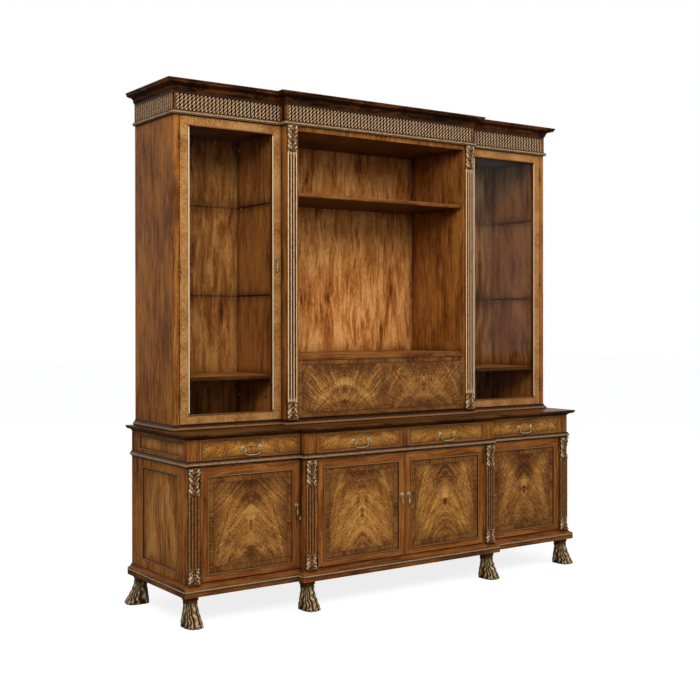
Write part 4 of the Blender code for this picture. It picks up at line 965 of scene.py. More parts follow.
class Finishes:
    """Every finish of the cabinet, made once and handed out by name."""

    def __init__(self) -> None:
        """Make the finishes."""
        self.upright = Walnut("polished_walnut_upright", "4A250E", "864F22", "AC6F32",
                              corner_glaze=1.0).material()
        self.level = Walnut("polished_walnut_level", "3E210E", "6E421E", "915D2C", Grain.LEVEL).material()
        self.top = Walnut("dark_glazed_top", "1E0F07", "43260F", "67401C", Grain.LEVEL, gloss=0.30,
                          corner_glaze=0.9).material()
        self.cornice = Walnut("dark_glazed_walnut", "140A05", "3A2010", "74401E", Grain.MAPPED,
                              gloss=0.38, corner_glaze=0.9, glaze_reach=0.02, ring=10 * MM).material()
        self.base_mould = Walnut("glazed_walnut_moulding", "2E170A", "66391A", "8C5526", Grain.MAPPED,
                                 corner_glaze=0.95, glaze_reach=0.02).material()
        self.mapped = Walnut("walnut_frame", "4C250E", "824A22", "9E6631", Grain.MAPPED,
                             corner_glaze=1.0, glaze_reach=0.026).material()
        self.banding = Walnut("crossbanded_walnut", "381D0C", "6C421E", "905E2C", Grain.MAPPED,
                              ring=8 * MM, stretch=0.16, corner_glaze=1.0, glaze_reach=0.014).material()
        self.crossband = Walnut("crossbanded_burr_walnut", "6E4320", "A06C3A", "BC8C54", Grain.MAPPED,
                                ring=7 * MM, stretch=0.40, corner_glaze=0.8, glaze_reach=0.02).material()
        self.inside = Walnut("figured_walnut_back", "4A240E", "955C2A", "C48C4C", Grain.UPRIGHT,
                             gloss=0.42, ring=26 * MM, stretch=0.14, glaze_reach=0.06).material()
        # The bay's back is a lighter copy of the wing backs' walnut: painted light
        self.bay_back = Walnut("figured_walnut_bay_back", "643114", "C67C3C", "F0B26A", Grain.UPRIGHT,
                               gloss=0.42, ring=20 * MM, stretch=0.12, glaze_reach=0.06).material()
        self.lining = Walnut("waxed_poplar_lining", "A87B49", "C79A63", "DAB07A", Grain.LEVEL,
                             gloss=0.55, corner_glaze=0.35).material()
        self.carved = CarvedWalnut("carved_highlighted_walnut", "1C0E07", "563117", "86603A", "D8C6A2",
                                   reach=0.006, mottle=6 * MM).material()
        self.shaft = CarvedWalnut("fluted_walnut", "2A160A", "6A3E1A", "85552A", "A87C48",
                                  reach=0.012).material()
        self.ribbed = CarvedWalnut("gilt_fluted_walnut", "1E0F07", "6E421E", "A87C50", "E6C49C", rub=0.68,
                                   reach=0.010).material()
        self.rope = CarvedWalnut("gilt_rope_walnut", "0C0603", "2A170B", "644526", "E6CEA8", rub=0.66,
                                 reach=0.005, hollow=1.0).material()
        self.moulded = CarvedWalnut("rubbed_walnut_bead", "160A05", "3A1F0D", "58331A", "8E6034", rub=0.64,
                                    reach=0.010, hollow=1.0).material()
        # The glazing bead is painted pale on its upright sides: a painted reflection
        self.gilt_bead = CarvedWalnut("gilt_glazing_bead", "4A2A12", "704828", "AE8458", "EAD6B6",
                                      rub=0.44, span=(0.9345, 2.2505)).material()
        self.paw = CarvedWalnut("carved_walnut_paw", "120904", "42260F", "6C4E2B", "C2B088",
                                reach=0.006, mottle=14 * MM).material()
        self.lattice = CarvedWalnut("carved_walnut_lattice", "120803", "4E2E1A", "80593A", "CCAE88",
                                    reach=0.005, hollow=1.0).material()
        self.brass = AntiqueBrass().material()
        self.hinge = AntiqueBrass("browned_hinge_brass", "2A1C0E", "5E4A28", "A8976A").material()
        self.glass = ClearGlass().material()
        self.string = Stringing().material()
        self.leaves = 0

    def matched(self, name: str, rect: "Rect", **finish: Any) -> Material:
        """A crotch veneer cut from the next leaf of the flitch.

        Args:
            name: The veneer's name.
            rect: The field that it covers.
            finish: Fields of Crotch that differ from its defaults.

        Returns:
            The material.
        """
        self.leaves += 1
        return Crotch(f"{name}_{self.leaves}", (rect.x1 - rect.x0) / 2, rect.z1 - rect.z0,
                      flitch=0.37 * self.leaves, **finish).material()

    def crotch(self, rect: "Rect", pale: bool) -> Material:
        """Crotch veneer for a door field, paler in the middle bay.

        Args:
            rect: The field.
            pale: Whether it is in the middle bay.

        Returns:
            The material.
        """
        if pale:
            return self.matched("crotch_walnut_bay_door", rect, middle="8A5726", light="BC813C",
                                gold="DCAC5C")
        return self.matched("crotch_walnut_door", rect)

    def fan(self, rect: "Rect") -> Material:
        """The wide veneer of the flap, cut lower in the crotch."""
        return self.matched("crotch_walnut_flap", rect, plume=0.8, slope=1.15, rising=0.26, falling=0.13,
                            fan=0.26, dark="4A270E", middle="7E4E22", light="A87236", gold="D6A858")

    def drawer_burr(self, rect: "Rect") -> Material:
        """The veneer of a drawer front, laid sideways."""
        return self.matched("crotch_walnut_drawer", rect, plume=0.35, slope=1.25, dark="4A260E",
                            middle="86521F", light="BC8138", gold="DCA858")

    def end_veneer(self, rect: "Rect") -> Material:
        """Upright veneer of an end panel, darker toward its edges.

        Args:
            rect: The panel.

        Returns:
            The material.
        """
        wide, high = abs(rect.x1 - rect.x0), rect.z1 - rect.z0
        return Walnut(f"end_veneer_{round(high * 1000)}", "5C3412", "98602C", "C48A4A", Grain.MAPPED,
                      sunburst=(wide / 2, high)).material()


@dataclass(frozen=True)
class Rect:
    """An upright rectangle facing the front."""

    x0: float
    x1: float
    z0: float
    z1: float

    @staticmethod
    def of(side: Side, near: float, far: float, z0: float, z1: float) -> "Rect":
        """The rectangle between two distances from the middle, on one side."""
        xs = sorted((side.value * near, side.value * far))
        return Rect(xs[0], xs[1], z0, z1)

    def inset(self, x: float, low: float | None = None, high: float | None = None) -> "Rect":
        """The rectangle drawn in at its sides, foot and head.

        Args:
            x: How far each side moves in.
            low: The same for the foot, or as x.
            high: The same for the head, or as low.

        Returns:
            The smaller rectangle.
        """
        low = x if low is None else low
        high = low if high is None else high
        return Rect(self.x0 + x, self.x1 - x, self.z0 + low, self.z1 - high)

    def corners(self) -> list[Span]:
        """The corners anticlockwise from the lower left."""
        return [(self.x0, self.z0), (self.x1, self.z0), (self.x1, self.z1), (self.x0, self.z1)]


@dataclass
class Joiner:
    """Veneered panels, mitred frames and beads on one body, whose front stands at a Y."""

    body: str
    front: float
    slot: str
    end: str = ""
    ease: float = 0.0004
    sink: float = 0.0004

    def done(self, piece: Piece, material: Material) -> Piece:
        """Dress a piece and ride it on the body."""
        return Bench.fit(piece, material, self.slot, body=self.body)

    def bar(self, name: str, outer: Rect, inner: Rect, rise: float, side: int) -> Piece:
        """One mitred member of a frame.

        Args:
            name: The member's name.
            outer: The frame's outer edge.
            inner: Its inner edge.
            rise: How far its face stands before the front.
            side: 0 for the foot, then anticlockwise.

        Returns:
            The member.
        """
        big, small = outer.corners(), inner.corners()
        ring = [big[side], big[(side + 1) % 4], small[(side + 1) % 4], small[side]]
        middle = [sum(p[i] for p in ring) / 4 for i in (0, 1)]

        def pulled(point: Span) -> Span:
            """A corner of the face, drawn in by the easing."""
            step = [self.ease if m > p else -self.ease for p, m in zip(point, middle)]
            return (point[0] + step[0] * (side % 2), point[1] + step[1] * (1 - side % 2))

        face = self.front - rise
        rings = [[(x, y, z) for x, z in ring] for y in (self.front + self.sink, face + self.ease)]
        rings.append([(x, face, z) for x, z in map(pulled, ring)])
        return Bench.prism(name, rings)

    def frame(self, name: str, outer: Rect, inner: Rect, material: Material, crossed: bool,
              rise: float = 0.0007) -> Piece:
        """A mitred frame of four members.

        Args:
            name: The frame's name.
            outer: Its outer edge.
            inner: Its inner edge.
            material: Its finish.
            crossed: Whether the grain runs across each member.
            rise: How far its face stands before the front.

        Returns:
            The frame.
        """
        bars = []
        for side in range(4):
            member = self.bar(f"{name}_{side}", outer, inner, rise, side)
            upright_grain = (side % 2 == 1) != crossed
            shift = 0.31 * side + outer.x0

            def place(co: Vector, upright: bool = upright_grain, by: float = shift) -> Span:
                """The grain map of this member."""
                return (co.x + by, co.z) if upright else (co.z + by, co.x)

            bars.append(Bench.map_grain(member, place))
        return self.done(Bench.join(bars, name + self.end), material)

    def bead(self, name: str, outer: Rect, width: float, rise: float, material: Material,
             sink: float = 0.001, steps: int = 6) -> Piece:
        """A rounded bead mitred round a rectangle.

        Args:
            name: The bead's name.
            outer: Its outer edge.
            width: Its width.
            rise: How far it stands before the front.
            material: Its finish.
            sink: How far it is let in.
            steps: How finely it is rounded.

        Returns:
            The bead.
        """
        section = [(0.0, -sink)] + [(width * (1 - cos(pi * i / steps)) / 2, rise * sin(pi * i / steps))
                                    for i in range(steps + 1)] + [(width, -sink)]
        bars = []
        for side in range(4):
            rings = []
            for corner in (side, (side + 1) % 4):
                insets = [outer.inset(step).corners()[corner] for step, _ in section]
                rings.append([(x, self.front - up, z) for (x, z), (_, up) in zip(insets, section)])
            bars.append(Bench.prism(f"{name}_{side}", rings))
        piece = Bench.join(bars, name + self.end)
        Bench.map_grain(piece, lambda co: (co.y * 3.0, co.x + co.z))
        # How far each point stands out is marked, and the finish paints it pale: a painted highlight
        Bench.mark(piece, lambda co: (self.front - co.y) / rise)
        return self.done(Bench.smooth(piece, 40.0), material)

    def panel(self, name: str, rect: Rect, material: Material, rise: float = 0.0007) -> Piece:
        """A veneered field with its figure centred.

        Args:
            name: The field's name.
            rect: Its edges.
            material: Its finish.
            rise: How far its face stands before the front.

        Returns:
            The field.
        """
        centre = (rect.x0 + rect.x1) / 2
        piece = Bench.board(name + self.end, (rect.x0, rect.x1),
                            (self.front + self.sink, self.front - rise), (rect.z0, rect.z1), 0.0002)
        Bench.map_grain(piece, lambda co: (co.x - centre, co.z - rect.z0))
        return self.done(piece, material)


class Brassware:
    """Rosettes, drops, bails and keys, each modelled once and copied, and the hinges' barrels."""

    post = 0.0100

    def __init__(self, finishes: Finishes) -> None:
        """Model the patterns at the origin, facing the front.

        Args:
            finishes: The cabinet's finishes.
        """
        self.finishes = finishes
        self.patterns = {
            "rosette": self.rosette(), "drop": self.drop(0.0500), "long_drop": self.drop(0.0650),
            "bail": self.bail(), "key": self.key(),
        }

    @staticmethod
    def rosette() -> Piece:
        """A cast rosette of eight petals with a stepped rim, its post and its ball.

        Returns:
            The pattern.
        """
        profile = mm((0.0, -1.0), (12.6, -1.0), (12.8, 1.0), (12.2, 2.0), (11.2, 2.1), (10.5, 1.6),
                     (8.8, 2.8), (6.6, 3.6), (4.8, 3.3), (3.6, 4.2), (2.6, 5.0), (2.3, 7.2), (3.0, 7.8),
                     (3.6, 9.0), (3.8, 10.2), (3.3, 12.0), (2.0, 13.3), (0.0, 13.8))
        piece = Bench.turned("pattern_rosette", profile, 32)
        for vertex in piece.data.vertices:
            radius = hypot(vertex.co.x, vertex.co.y)
            if 0.0045 < radius < 0.0108 and vertex.co.z > 0:
                vertex.co.z += 0.0007 * cos(8 * atan2(vertex.co.y, vertex.co.x))
        return Bench.settle(piece, Matrix.Rotation(pi / 2, 4, "X"))

    @staticmethod
    def drop(length: float) -> Piece:
        """A turned drop: a collared neck, a long baluster and a button end.

        Args:
            length: How far it hangs below its pin.

        Returns:
            The pattern.
        """
        start = 0.0038
        shares = [(0.0, 0.0), (0.0, 0.55), (0.03, 0.72), (0.06, 0.72), (0.09, 0.42), (0.14, 0.34),
                  (0.30, 0.40), (0.48, 0.56), (0.62, 0.82), (0.70, 0.98), (0.75, 0.90), (0.79, 0.50),
                  (0.81, 0.44), (0.84, 0.60), (0.88, 0.76), (0.93, 0.74), (0.97, 0.48), (1.0, 0.0)]
        profile = [(0.0045 * out, -start - (length - start) * down) for down, out in shares]
        return Bench.turned(f"pattern_drop_{round(length * 1000)}", profile, 16)

    @staticmethod
    def bail() -> Piece:
        """A swan-neck bail with a swelling grip and small side scrolls.

        Returns:
            The pattern.
        """
        half = 0.046
        side = mm((-4.0, 0.0, 1.8), (-8.5, -1.2, 1.9), (-12.0, -7.0, 1.9), (-9.8, -15.0, 1.9),
                  (-7.8, -22.5, 2.0), (-12.0, -29.0, 2.1), (-24.0, -32.2, 2.4))
        left = [(-half - x, z, r) for x, z, r in side]
        right = [(-x, z, r) for x, z, r in reversed(left)]
        line = left + [(0.0, -0.0330, 0.0028)] + right
        return Bench.wire("pattern_bail", [(x, 0.0, z) for x, z, _ in line], [r for _, _, r in line])

    @staticmethod
    def key() -> Piece:
        """A key: collared shank, neck ring and a pierced heart bow.

        Returns:
            The pattern.
        """
        profile = mm((0.0, 10.0), (2.2, 10.0), (2.2, -6.0), (3.0, -6.6), (3.0, -8.0), (2.1, -8.8),
                     (1.8, -17.0), (2.8, -18.2), (2.8, -20.0), (1.9, -21.2), (1.9, -24.0), (0.0, -24.0))
        shank = Bench.turned("pattern_shank", profile, 16)
        Bench.settle(shank, Matrix.Rotation(-pi / 2, 4, "X"))
        around = mm((0.0, -22.2), (3.0, -24.0), (6.8, -27.2), (8.6, -31.6), (7.0, -36.0), (3.4, -36.6),
                    (0.0, -35.2))
        path = [(0.0, y, z) for z, y in around] + [(0.0, y, -z) for z, y in reversed(around[1:-1])]
        bow = Bench.wire("pattern_bow", path, [0.0016] * len(path), cyclic=True)
        return Bench.join([shank, bow], "pattern_key")

    def place(self, pattern: str, name: str, at: Point, body: str, *nodes: str) -> None:
        """Put a copy of a pattern in its place.

        Args:
            pattern: Which pattern.
            name: The copy's name.
            at: Where its origin goes.
            body: The body it rides on.
            nodes: The CAD node that it stands for, if there is one.
        """
        piece = Bench.copy(self.patterns[pattern], name, Matrix.Translation(at))
        Bench.fit(piece, self.finishes.brass, "antique_brass", *nodes, body=body)

    def pull(self, rosette: str, name: str, pattern: str, at: Point, body: str, moving: str) -> None:
        """Hang a drop on the post of a rosette.

        Args:
            rosette: The rosette's name.
            name: The drop's name.
            pattern: The drop's pattern.
            at: Where the rosette sits.
            body: The body that carries the rosette.
            moving: The drop's own body, and the CAD node that it stands for.
        """
        self.place("rosette", rosette, at, body)
        self.place(pattern, name, (at[0], at[1] - self.post, at[2]), moving, moving)

    def hinges(self, name: str, axis: Span, lows: Sequence[float], length: float, body: str) -> None:
        """Hang a door on several butt hinges, whose lower ends stand at the lows."""
        for number, low in enumerate(lows):
            self.hinge(f"{name}_{number}", axis, low, length, body)

    def hinge(self, name: str, axis: Span, low: float, length: float, body: str) -> None:
        """A butt hinge's barrel: five knuckles with a ball at each end.

        Args:
            name: The barrel's name.
            axis: The X and Y of its pin.
            low: The Z of its lower end.
            length: Its length.
            body: The body it rides on.
        """
        radius, nick = 0.0033, 0.00035
        ball = mm((0.0, 4.5), (1.8, 4.2), (2.5, 2.8), (1.6, 1.0), (1.6, 0.0))
        profile = [(out, low - down) for out, down in ball]
        for knuckle in range(5):
            foot = low + length * knuckle / 5
            head = low + length * (knuckle + 1) / 5
            profile += [(radius - nick, foot), (radius, foot + nick * 2), (radius, head - nick * 2),
                        (radius - nick, head)]
        profile += [(out, low + length + up) for out, up in reversed(ball)]
        piece = Bench.turned(name, profile, 12)
        Bench.settle(piece, Matrix.Translation((*axis, 0.0)))
        Bench.fit(piece, self.finishes.hinge, "antique_brass", body=body)

    def clean_up(self) -> None:
        """Remove the patterns, which are no part of the cabinet."""
        for pattern in self.patterns.values():
            bpy.data.objects.remove(pattern)


@dataclass
class BaseFront:
    """A door or a drawer that closes one opening of the base."""

    side: Side
    bay: Bay
    z0: float
    z1: float
    centre_span: Span
    wing_span: Span

    @property
    def centre(self) -> bool:
        """Whether it is in the middle bay."""
        return self.bay is Bay.CENTRE

    @property
    def word(self) -> str:
        """The end of its pieces' names."""
        return ("centre_" if self.centre else "") + self.side.word

    @property
    def front(self) -> float:
        """The Y of its front."""
        return BASE.centre_front if self.centre else BASE.front

    @property
    def slab(self) -> Rect:
        """The edges of its front."""
        span = self.centre_span if self.centre else self.wing_span
        return Rect.of(self.side, *span, self.z0, self.z1)


@dataclass
class CupboardDoor(BaseFront):
    """A base door: mitred walnut frame, astragal, crossband, stringing and a crotch field."""

    z0: float = 0.1930
    z1: float = 0.7030
    centre_span: Span = (0.0010, 0.5215)
    wing_span: Span = (0.5960, 1.1184)
    side_margin: float = 0.0335
    head_margin: float = 0.0370
    foot_margin: float = 0.0270
    bead_width: float = 0.0080
    sunk: float = 0.0030
    crossband: float = 0.0265
    centre_pull: float = 0.0215
    wing_pull: float = 0.6125
    hinge_gap: float = 0.0010
    pull_z: float = 0.4940
    key_z: float = 0.4355
    hinge_lows: Span = (0.2110, 0.6140)
    hinge_length: float = 0.0620

    def build(self, finishes: Finishes, brass: Brassware) -> None:
        """Veneer the door and fit its brass.

        Args:
            finishes: The cabinet's finishes.
            brass: The patterns of its brass.
        """
        body = "base_door_" + self.word
        slab = self.slab
        joiner = Joiner(body, self.front, "crotch_veneer", "_" + self.word)
        moulded = slab.inset(self.side_margin, self.foot_margin, self.head_margin)
        joiner.frame("door_frame", slab.inset(0.0002), moulded.inset(0.0010), finishes.mapped,
                     crossed=False)
        joiner.bead("door_astragal", moulded, self.bead_width, 0.0040, finishes.moulded, sink=0.0030)
        field = moulded.inset(self.bead_width - 0.0008)
        inner = field.inset(self.crossband)
        sunk = replace(joiner, front=self.front + self.sunk)
        sunk.bead("door_cove", moulded.inset(self.bead_width - 0.0010), 0.0030, 0.0014, finishes.string,
                  steps=4)
        replace(sunk, slot="crossband_veneer").frame("door_crossband", field, inner, finishes.banding,
                                                     crossed=True, rise=0.0005)
        sunk.bead("door_stringing", inner.inset(-0.0008), 0.0026, 0.0009, finishes.string, sink=0.0003,
                  steps=3)
        sunk.panel("door_field", inner, finishes.crotch(inner, self.centre), rise=0.0005)
        pull_x = self.side.value * (self.centre_pull if self.centre else self.wing_pull)
        brass.pull("door_rosette_" + self.word, "drop_" + self.word, "drop",
                   (pull_x, self.front, self.pull_z), body, "base_pull_" + self.word)
        if self.bay is Bay.WING or self.side is Side.RIGHT:
            brass.place("key", "door_key_" + self.word, (pull_x, self.front, self.key_z),
                        "key_" + self.word, "key_" + self.word)
        far = (self.centre_span if self.centre else self.wing_span)[1] + self.hinge_gap
        brass.hinges("door_hinge_" + self.word, (self.side.value * far, self.front - 0.0030),
                     self.hinge_lows, self.hinge_length, body)


@dataclass
class Drawer(BaseFront):
    """A drawer: cockbead, border, stringing, crotch field and a swan-neck bail."""

    z0: float = 0.7360
    z1: float = 0.8285
    centre_span: Span = (0.0215, 0.5220)
    wing_span: Span = (0.5960, 1.1189)
    cockbead: float = 0.0034
    border: float = 0.0075
    bail_z: float = 0.7800
    bail_spread: float = 0.0920

    def build(self, finishes: Finishes, brass: Brassware) -> None:
        """Veneer the drawer's front and hang its bail.

        Args:
            finishes: The cabinet's finishes.
            brass: The patterns of its brass.
        """
        body = "drawer_" + self.word
        slab = self.slab
        joiner = Joiner(body, self.front, "crotch_veneer", "_" + self.word)
        joiner.bead("drawer_cockbead", slab, self.cockbead, 0.0026, finishes.moulded)
        band = slab.inset(self.cockbead - 0.0002)
        inner = band.inset(self.border)
        joiner.frame("drawer_border", band, inner, finishes.mapped, crossed=False)
        joiner.bead("drawer_stringing", inner.inset(-0.0008), 0.0022, 0.0013, finishes.string,
                    sink=0.0003, steps=3)
        joiner.panel("drawer_field", inner, finishes.drawer_burr(inner))
        middle = (slab.x0 + slab.x1) / 2
        for sign, word in ((-1, "a"), (1, "b")):
            spot = (middle + sign * self.bail_spread / 2, self.front, self.bail_z)
            brass.place("rosette", f"drawer_rosette_{self.word}_{word}", spot, body)
        brass.place("bail", "bail_" + self.word, (middle, self.front - brass.post, self.bail_z),
                    "drawer_bail_" + self.word, "drawer_bail_" + self.word)


@dataclass
class GlazedDoor:
    """A wing door: mitred crossbanded frame, glazing bead painted pale on its upright sides as a painted
    reflection, drop pull and three hinges.
    """

    side: Side
    span: Span = (0.5950, 1.1362)
    z0: float = 0.8850
    z1: float = 2.3020
    stile: float = 0.0490
    foot_rail: float = 0.0430
    head_rail: float = 0.0450
    bead: float = 0.0060
    pull: Span = (0.6220, 1.6590)
    hinge_gap: float = 0.0010
    hinge_lows: tuple[float, float, float] = (0.9625, 1.5580, 2.1535)
    hinge_length: float = 0.0700

    def build(self, finishes: Finishes, brass: Brassware) -> None:
        """Veneer the frame and fit the bead and the brass.

        Args:
            finishes: The cabinet's finishes.
            brass: The patterns of its brass.
        """
        word = self.side.word
        body = "glazed_door_" + word
        joiner = Joiner(body, UPPER.front, "crossband_veneer", "_" + word)
        slab = Rect.of(self.side, *self.span, self.z0, self.z1)
        beaded = slab.inset(self.stile, self.foot_rail, self.head_rail).inset(-self.bead)
        joiner.frame("glazed_frame", slab.inset(0.0002), beaded.inset(0.0006), finishes.crossband,
                     crossed=True)
        joiner.bead("glazing_bead", beaded, self.bead + 0.0004, 0.0034, finishes.gilt_bead, sink=0.0060)
        joiner.bead("glazed_edge_line", slab.inset(0.0001), 0.0016, 0.0011, finishes.string, steps=3)
        brass.pull("glazed_rosette_" + word, "long_drop_" + word, "long_drop",
                   (self.side.value * self.pull[0], UPPER.front, self.pull[1]), body,
                   "glazed_pull_" + word)
        axis = (self.side.value * (self.span[1] + self.hinge_gap), UPPER.front - 0.0030)
        brass.hinges("glazed_hinge_" + word, axis, self.hinge_lows, self.hinge_length, body)


@dataclass
class FallFlap:
    """The flap under the bay: a crossbanded border round two book-matched fan veneers."""

    half: float = 0.5235
    z0: float = 0.8912
    z1: float = 1.1670
    border: float = 0.0200

    def build(self, finishes: Finishes) -> None:
        """Veneer the flap's front.

        Args:
            finishes: The cabinet's finishes.
        """
        joiner = Joiner("fall_flap", UPPER.centre_front, "crossband_veneer")
        slab = Rect(-self.half, self.half, self.z0, self.z1)
        inner = slab.inset(self.border)
        joiner.frame("flap_border", slab.inset(0.0002), inner, finishes.banding, crossed=True)
        joiner.bead("flap_stringing", inner.inset(-0.0010), 0.0030, 0.0016, finishes.string, sink=0.0003,
                    steps=3)
        for word, near, far in (("left", inner.x0, 0.0), ("right", 0.0, inner.x1)):
            leaf = Rect(near, far, inner.z0, inner.z1)
            joiner.panel("flap_fan_" + word, leaf, finishes.fan(leaf))


class Carver:
    """The profiles and ridges of the carved work."""

    @staticmethod
    def along(stops: Sequence[Span], share: float) -> float:
        """Read a smooth curve through stops at a share of the way.

        Args:
            stops: (share, value) pairs in order.
            share: Where to read.

        Returns:
            The value there.
        """
        for (a, low), (b, high) in zip(stops, stops[1:]):
            if share <= b:
                t = max(0.0, (share - a) / (b - a))
                return low + (high - low) * t * t * (3 - 2 * t)
        return stops[-1][1]

    @staticmethod
    def bump(value: float, centre: float, width: float) -> float:
        """A smooth hump of height 1."""
        return exp(-((value - centre) / width) ** 2)

    @staticmethod
    def leaf(s: float, v: float, lobes: float) -> tuple[float, float]:
        """The relief of an acanthus leaf that hangs from its head.

        Args:
            s: From -1 at the left edge to 1 at the right.
            v: From 0 at the tip to 1 at the head.
            lobes: How many leaflets there are down each side.

        Returns:
            The relief in metres and how proud it is from 0 to 1.
        """
        out = abs(s)
        phase = v * lobes - out * 1.15 + 0.20 * sin(13 * v + 5 * s) + 0.10 * sin(29 * v - 7 * s)
        lobe = 0.5 + 0.5 * cos(tau * phase)
        vein = 0.5 + 0.5 * cos(tau * (phase * 2.0 + out * 2.6 + 0.5))
        rib = Carver.bump(out, 0.0, 0.10)
        channel = Carver.bump(out, 0.20, 0.07)
        rim = Carver.bump(out, 0.90, 0.12)
        curl = Carver.bump(out, 0.62, 0.20) * lobe ** 3
        height = 0.0026 * lobe ** 0.7 + 0.0010 * vein * (1 - rib) + 0.0024 * rib + 0.0010 * rim
        height -= 0.0016 * channel
        # How proud a place is sets how pale the finish paints it: a painted highlight on lobes, curls,
        # veins and rim
        proud = 0.36 + 0.10 * lobe + 0.28 * curl + 0.20 * vein * (1 - rib) + 0.06 * rib + 0.18 * rim
        proud -= 0.16 * channel + 0.16 * (1 - lobe) ** 3
        return height, min(1.0, max(0.0, proud))


@dataclass
class Pilaster:
    """A fluted pilaster with an acanthus bracket at its head and a carved leaf foot."""

    node: str
    x: Span
    face: float
    low: float
    high: float
    foot_height: float
    foot_flare: float
    bracket_height: float
    bracket_reach: float
    projection: float = 0.0100
    flutes: int = 3
    flute: float = 0.0098
    flute_depth: float = 0.0042
    rib: float = 0.60
    inset: float = 0.0045

    def build(self, finishes: Finishes) -> None:
        """Carve the three parts in the pilaster's place.

        Args:
            finishes: The cabinet's finishes.
        """
        self.shaft(finishes.shaft if self.node.startswith("base") else finishes.ribbed)
        swell = [(0.0, 0.22), (0.05, 0.60), (0.12, 0.62), (0.24, 0.24), (0.45, 0.18), (0.66, 0.46),
                 (0.84, 0.96), (0.93, 1.0), (0.965, 0.86), (0.97, 1.02), (1.0, 1.02)]
        spread = [(0.0, 0.94), (0.08, 1.0), (0.26, 0.84), (0.48, 0.78), (0.72, 0.92), (0.90, 1.0),
                  (1.0, 1.0)]
        self.carve("bracket_", self.high - self.bracket_height, self.bracket_height,
                   self.bracket_reach, swell, spread, 5.0, False, finishes.carved)
        swell = [(0.0, 0.96), (0.045, 0.96), (0.05, 0.84), (0.12, 1.0), (0.26, 0.80), (0.50, 0.42),
                 (0.74, 0.30), (0.90, 0.46), (1.0, 0.10)]
        spread = [(0.0, 1.0), (0.30, 0.98), (0.62, 0.84), (0.88, 0.95), (1.0, 0.90)]
        self.carve("leaf_foot_", self.low, self.foot_height, self.foot_flare, swell, spread, 3.4, True,
                   finishes.carved)

    def carve(self, name: str, low: float, height: float, reach: float, swell: Sequence[Span],
              spread: Sequence[Span], lobes: float, rising: bool, finish: Material) -> None:
        """Carve one leaf block.

        Args:
            name: The start of the block's name.
            low: Its lower end.
            height: Its height.
            reach: How far its proudest place stands from the face behind.
            swell: The shares of the reach up its height.
            spread: The shares of the half width up its height.
            lobes: How many leaflets there are down each side.
            rising: Whether the leaf springs from its foot.
            finish: Its finish.
        """
        back = self.face - 0.0003
        middle, half = sum(self.x) / 2, (self.x[1] - self.x[0]) / 2

        def surface(u: float, v: float) -> Quad:
            """A point of the leaf's front and its ridge.

            Args:
                u: The share across.
                v: The share up.

            Returns:
                The point as (x, y, z, ridge).
            """
            s = 2 * u - 1
            wide = half * Carver.along(spread, v)
            along = 1 - v if rising else v
            relief, proud = Carver.leaf(s, along, lobes)
            edge = 1 - abs(s) ** 3 * 0.45
            out = (self.projection + (reach - self.projection) * Carver.along(swell, v)) * edge
            scallop = 1 - 0.10 * (0.5 - 0.5 * cos(tau * (along * lobes - 0.95)))
            if v < 0.045 if rising else v > 0.965:
                return middle + s * half, back - reach * 0.98, low + height * v, 0.45
            return middle + s * wide * scallop, back - out - relief * 0.8 + 0.0012, low + height * v, proud

        piece = Bench.relief(name + self.node, 32, 76, surface, back + 0.0001)
        Bench.fit(piece, finish, "carved_walnut")

    def shaft(self, finish: Material) -> None:
        """Flute the shaft, with each flute stopped round at its ends.

        Args:
            finish: Its finish.
        """
        low, high = self.low + self.foot_height - 0.004, self.high - self.bracket_height + 0.004
        x0, x1 = self.x[0] + self.inset, self.x[1] - self.inset
        width = x1 - x0
        rib = (width - self.flutes * self.flute) / (self.flutes + 1)
        front = self.face - 0.0003 - self.projection
        pitch = rib + self.flute
        stop = 0.012 / (high - low)

        def surface(u: float, v: float) -> Quad:
            """A point of the fluted front and its ridge.

            Args:
                u: The share across.
                v: The share up.

            Returns:
                The point as (x, y, z, ridge).
            """
            across = u * width
            place = (across - rib) % pitch
            number = floor((across - rib) / pitch)
            cut = 0.0
            if 0 <= number < self.flutes and 0 < place < self.flute:
                end = min(1.0, min(v, 1 - v) / stop)
                share = place / self.flute * 2 - 1
                round_end = sqrt(max(0.0, 1 - (1 - end) ** 2))
                cut = self.flute_depth * sqrt(max(0.0, 1 - share * share)) * round_end
            eased = 0.0010 if u in (0.0, 1.0) else 0.0
            # The ribs are marked proud and the finish paints them pale: a painted highlight
            proud = self.rib if cut == 0 else 0.38 - 0.20 * cut / self.flute_depth
            return x0 + across, front + cut + eased, low + (high - low) * v, proud

        piece = Bench.relief("shaft_" + self.node, 60, 48, surface, self.face - 0.0002)
        Bench.fit(piece, finish, "carved_walnut", self.node)


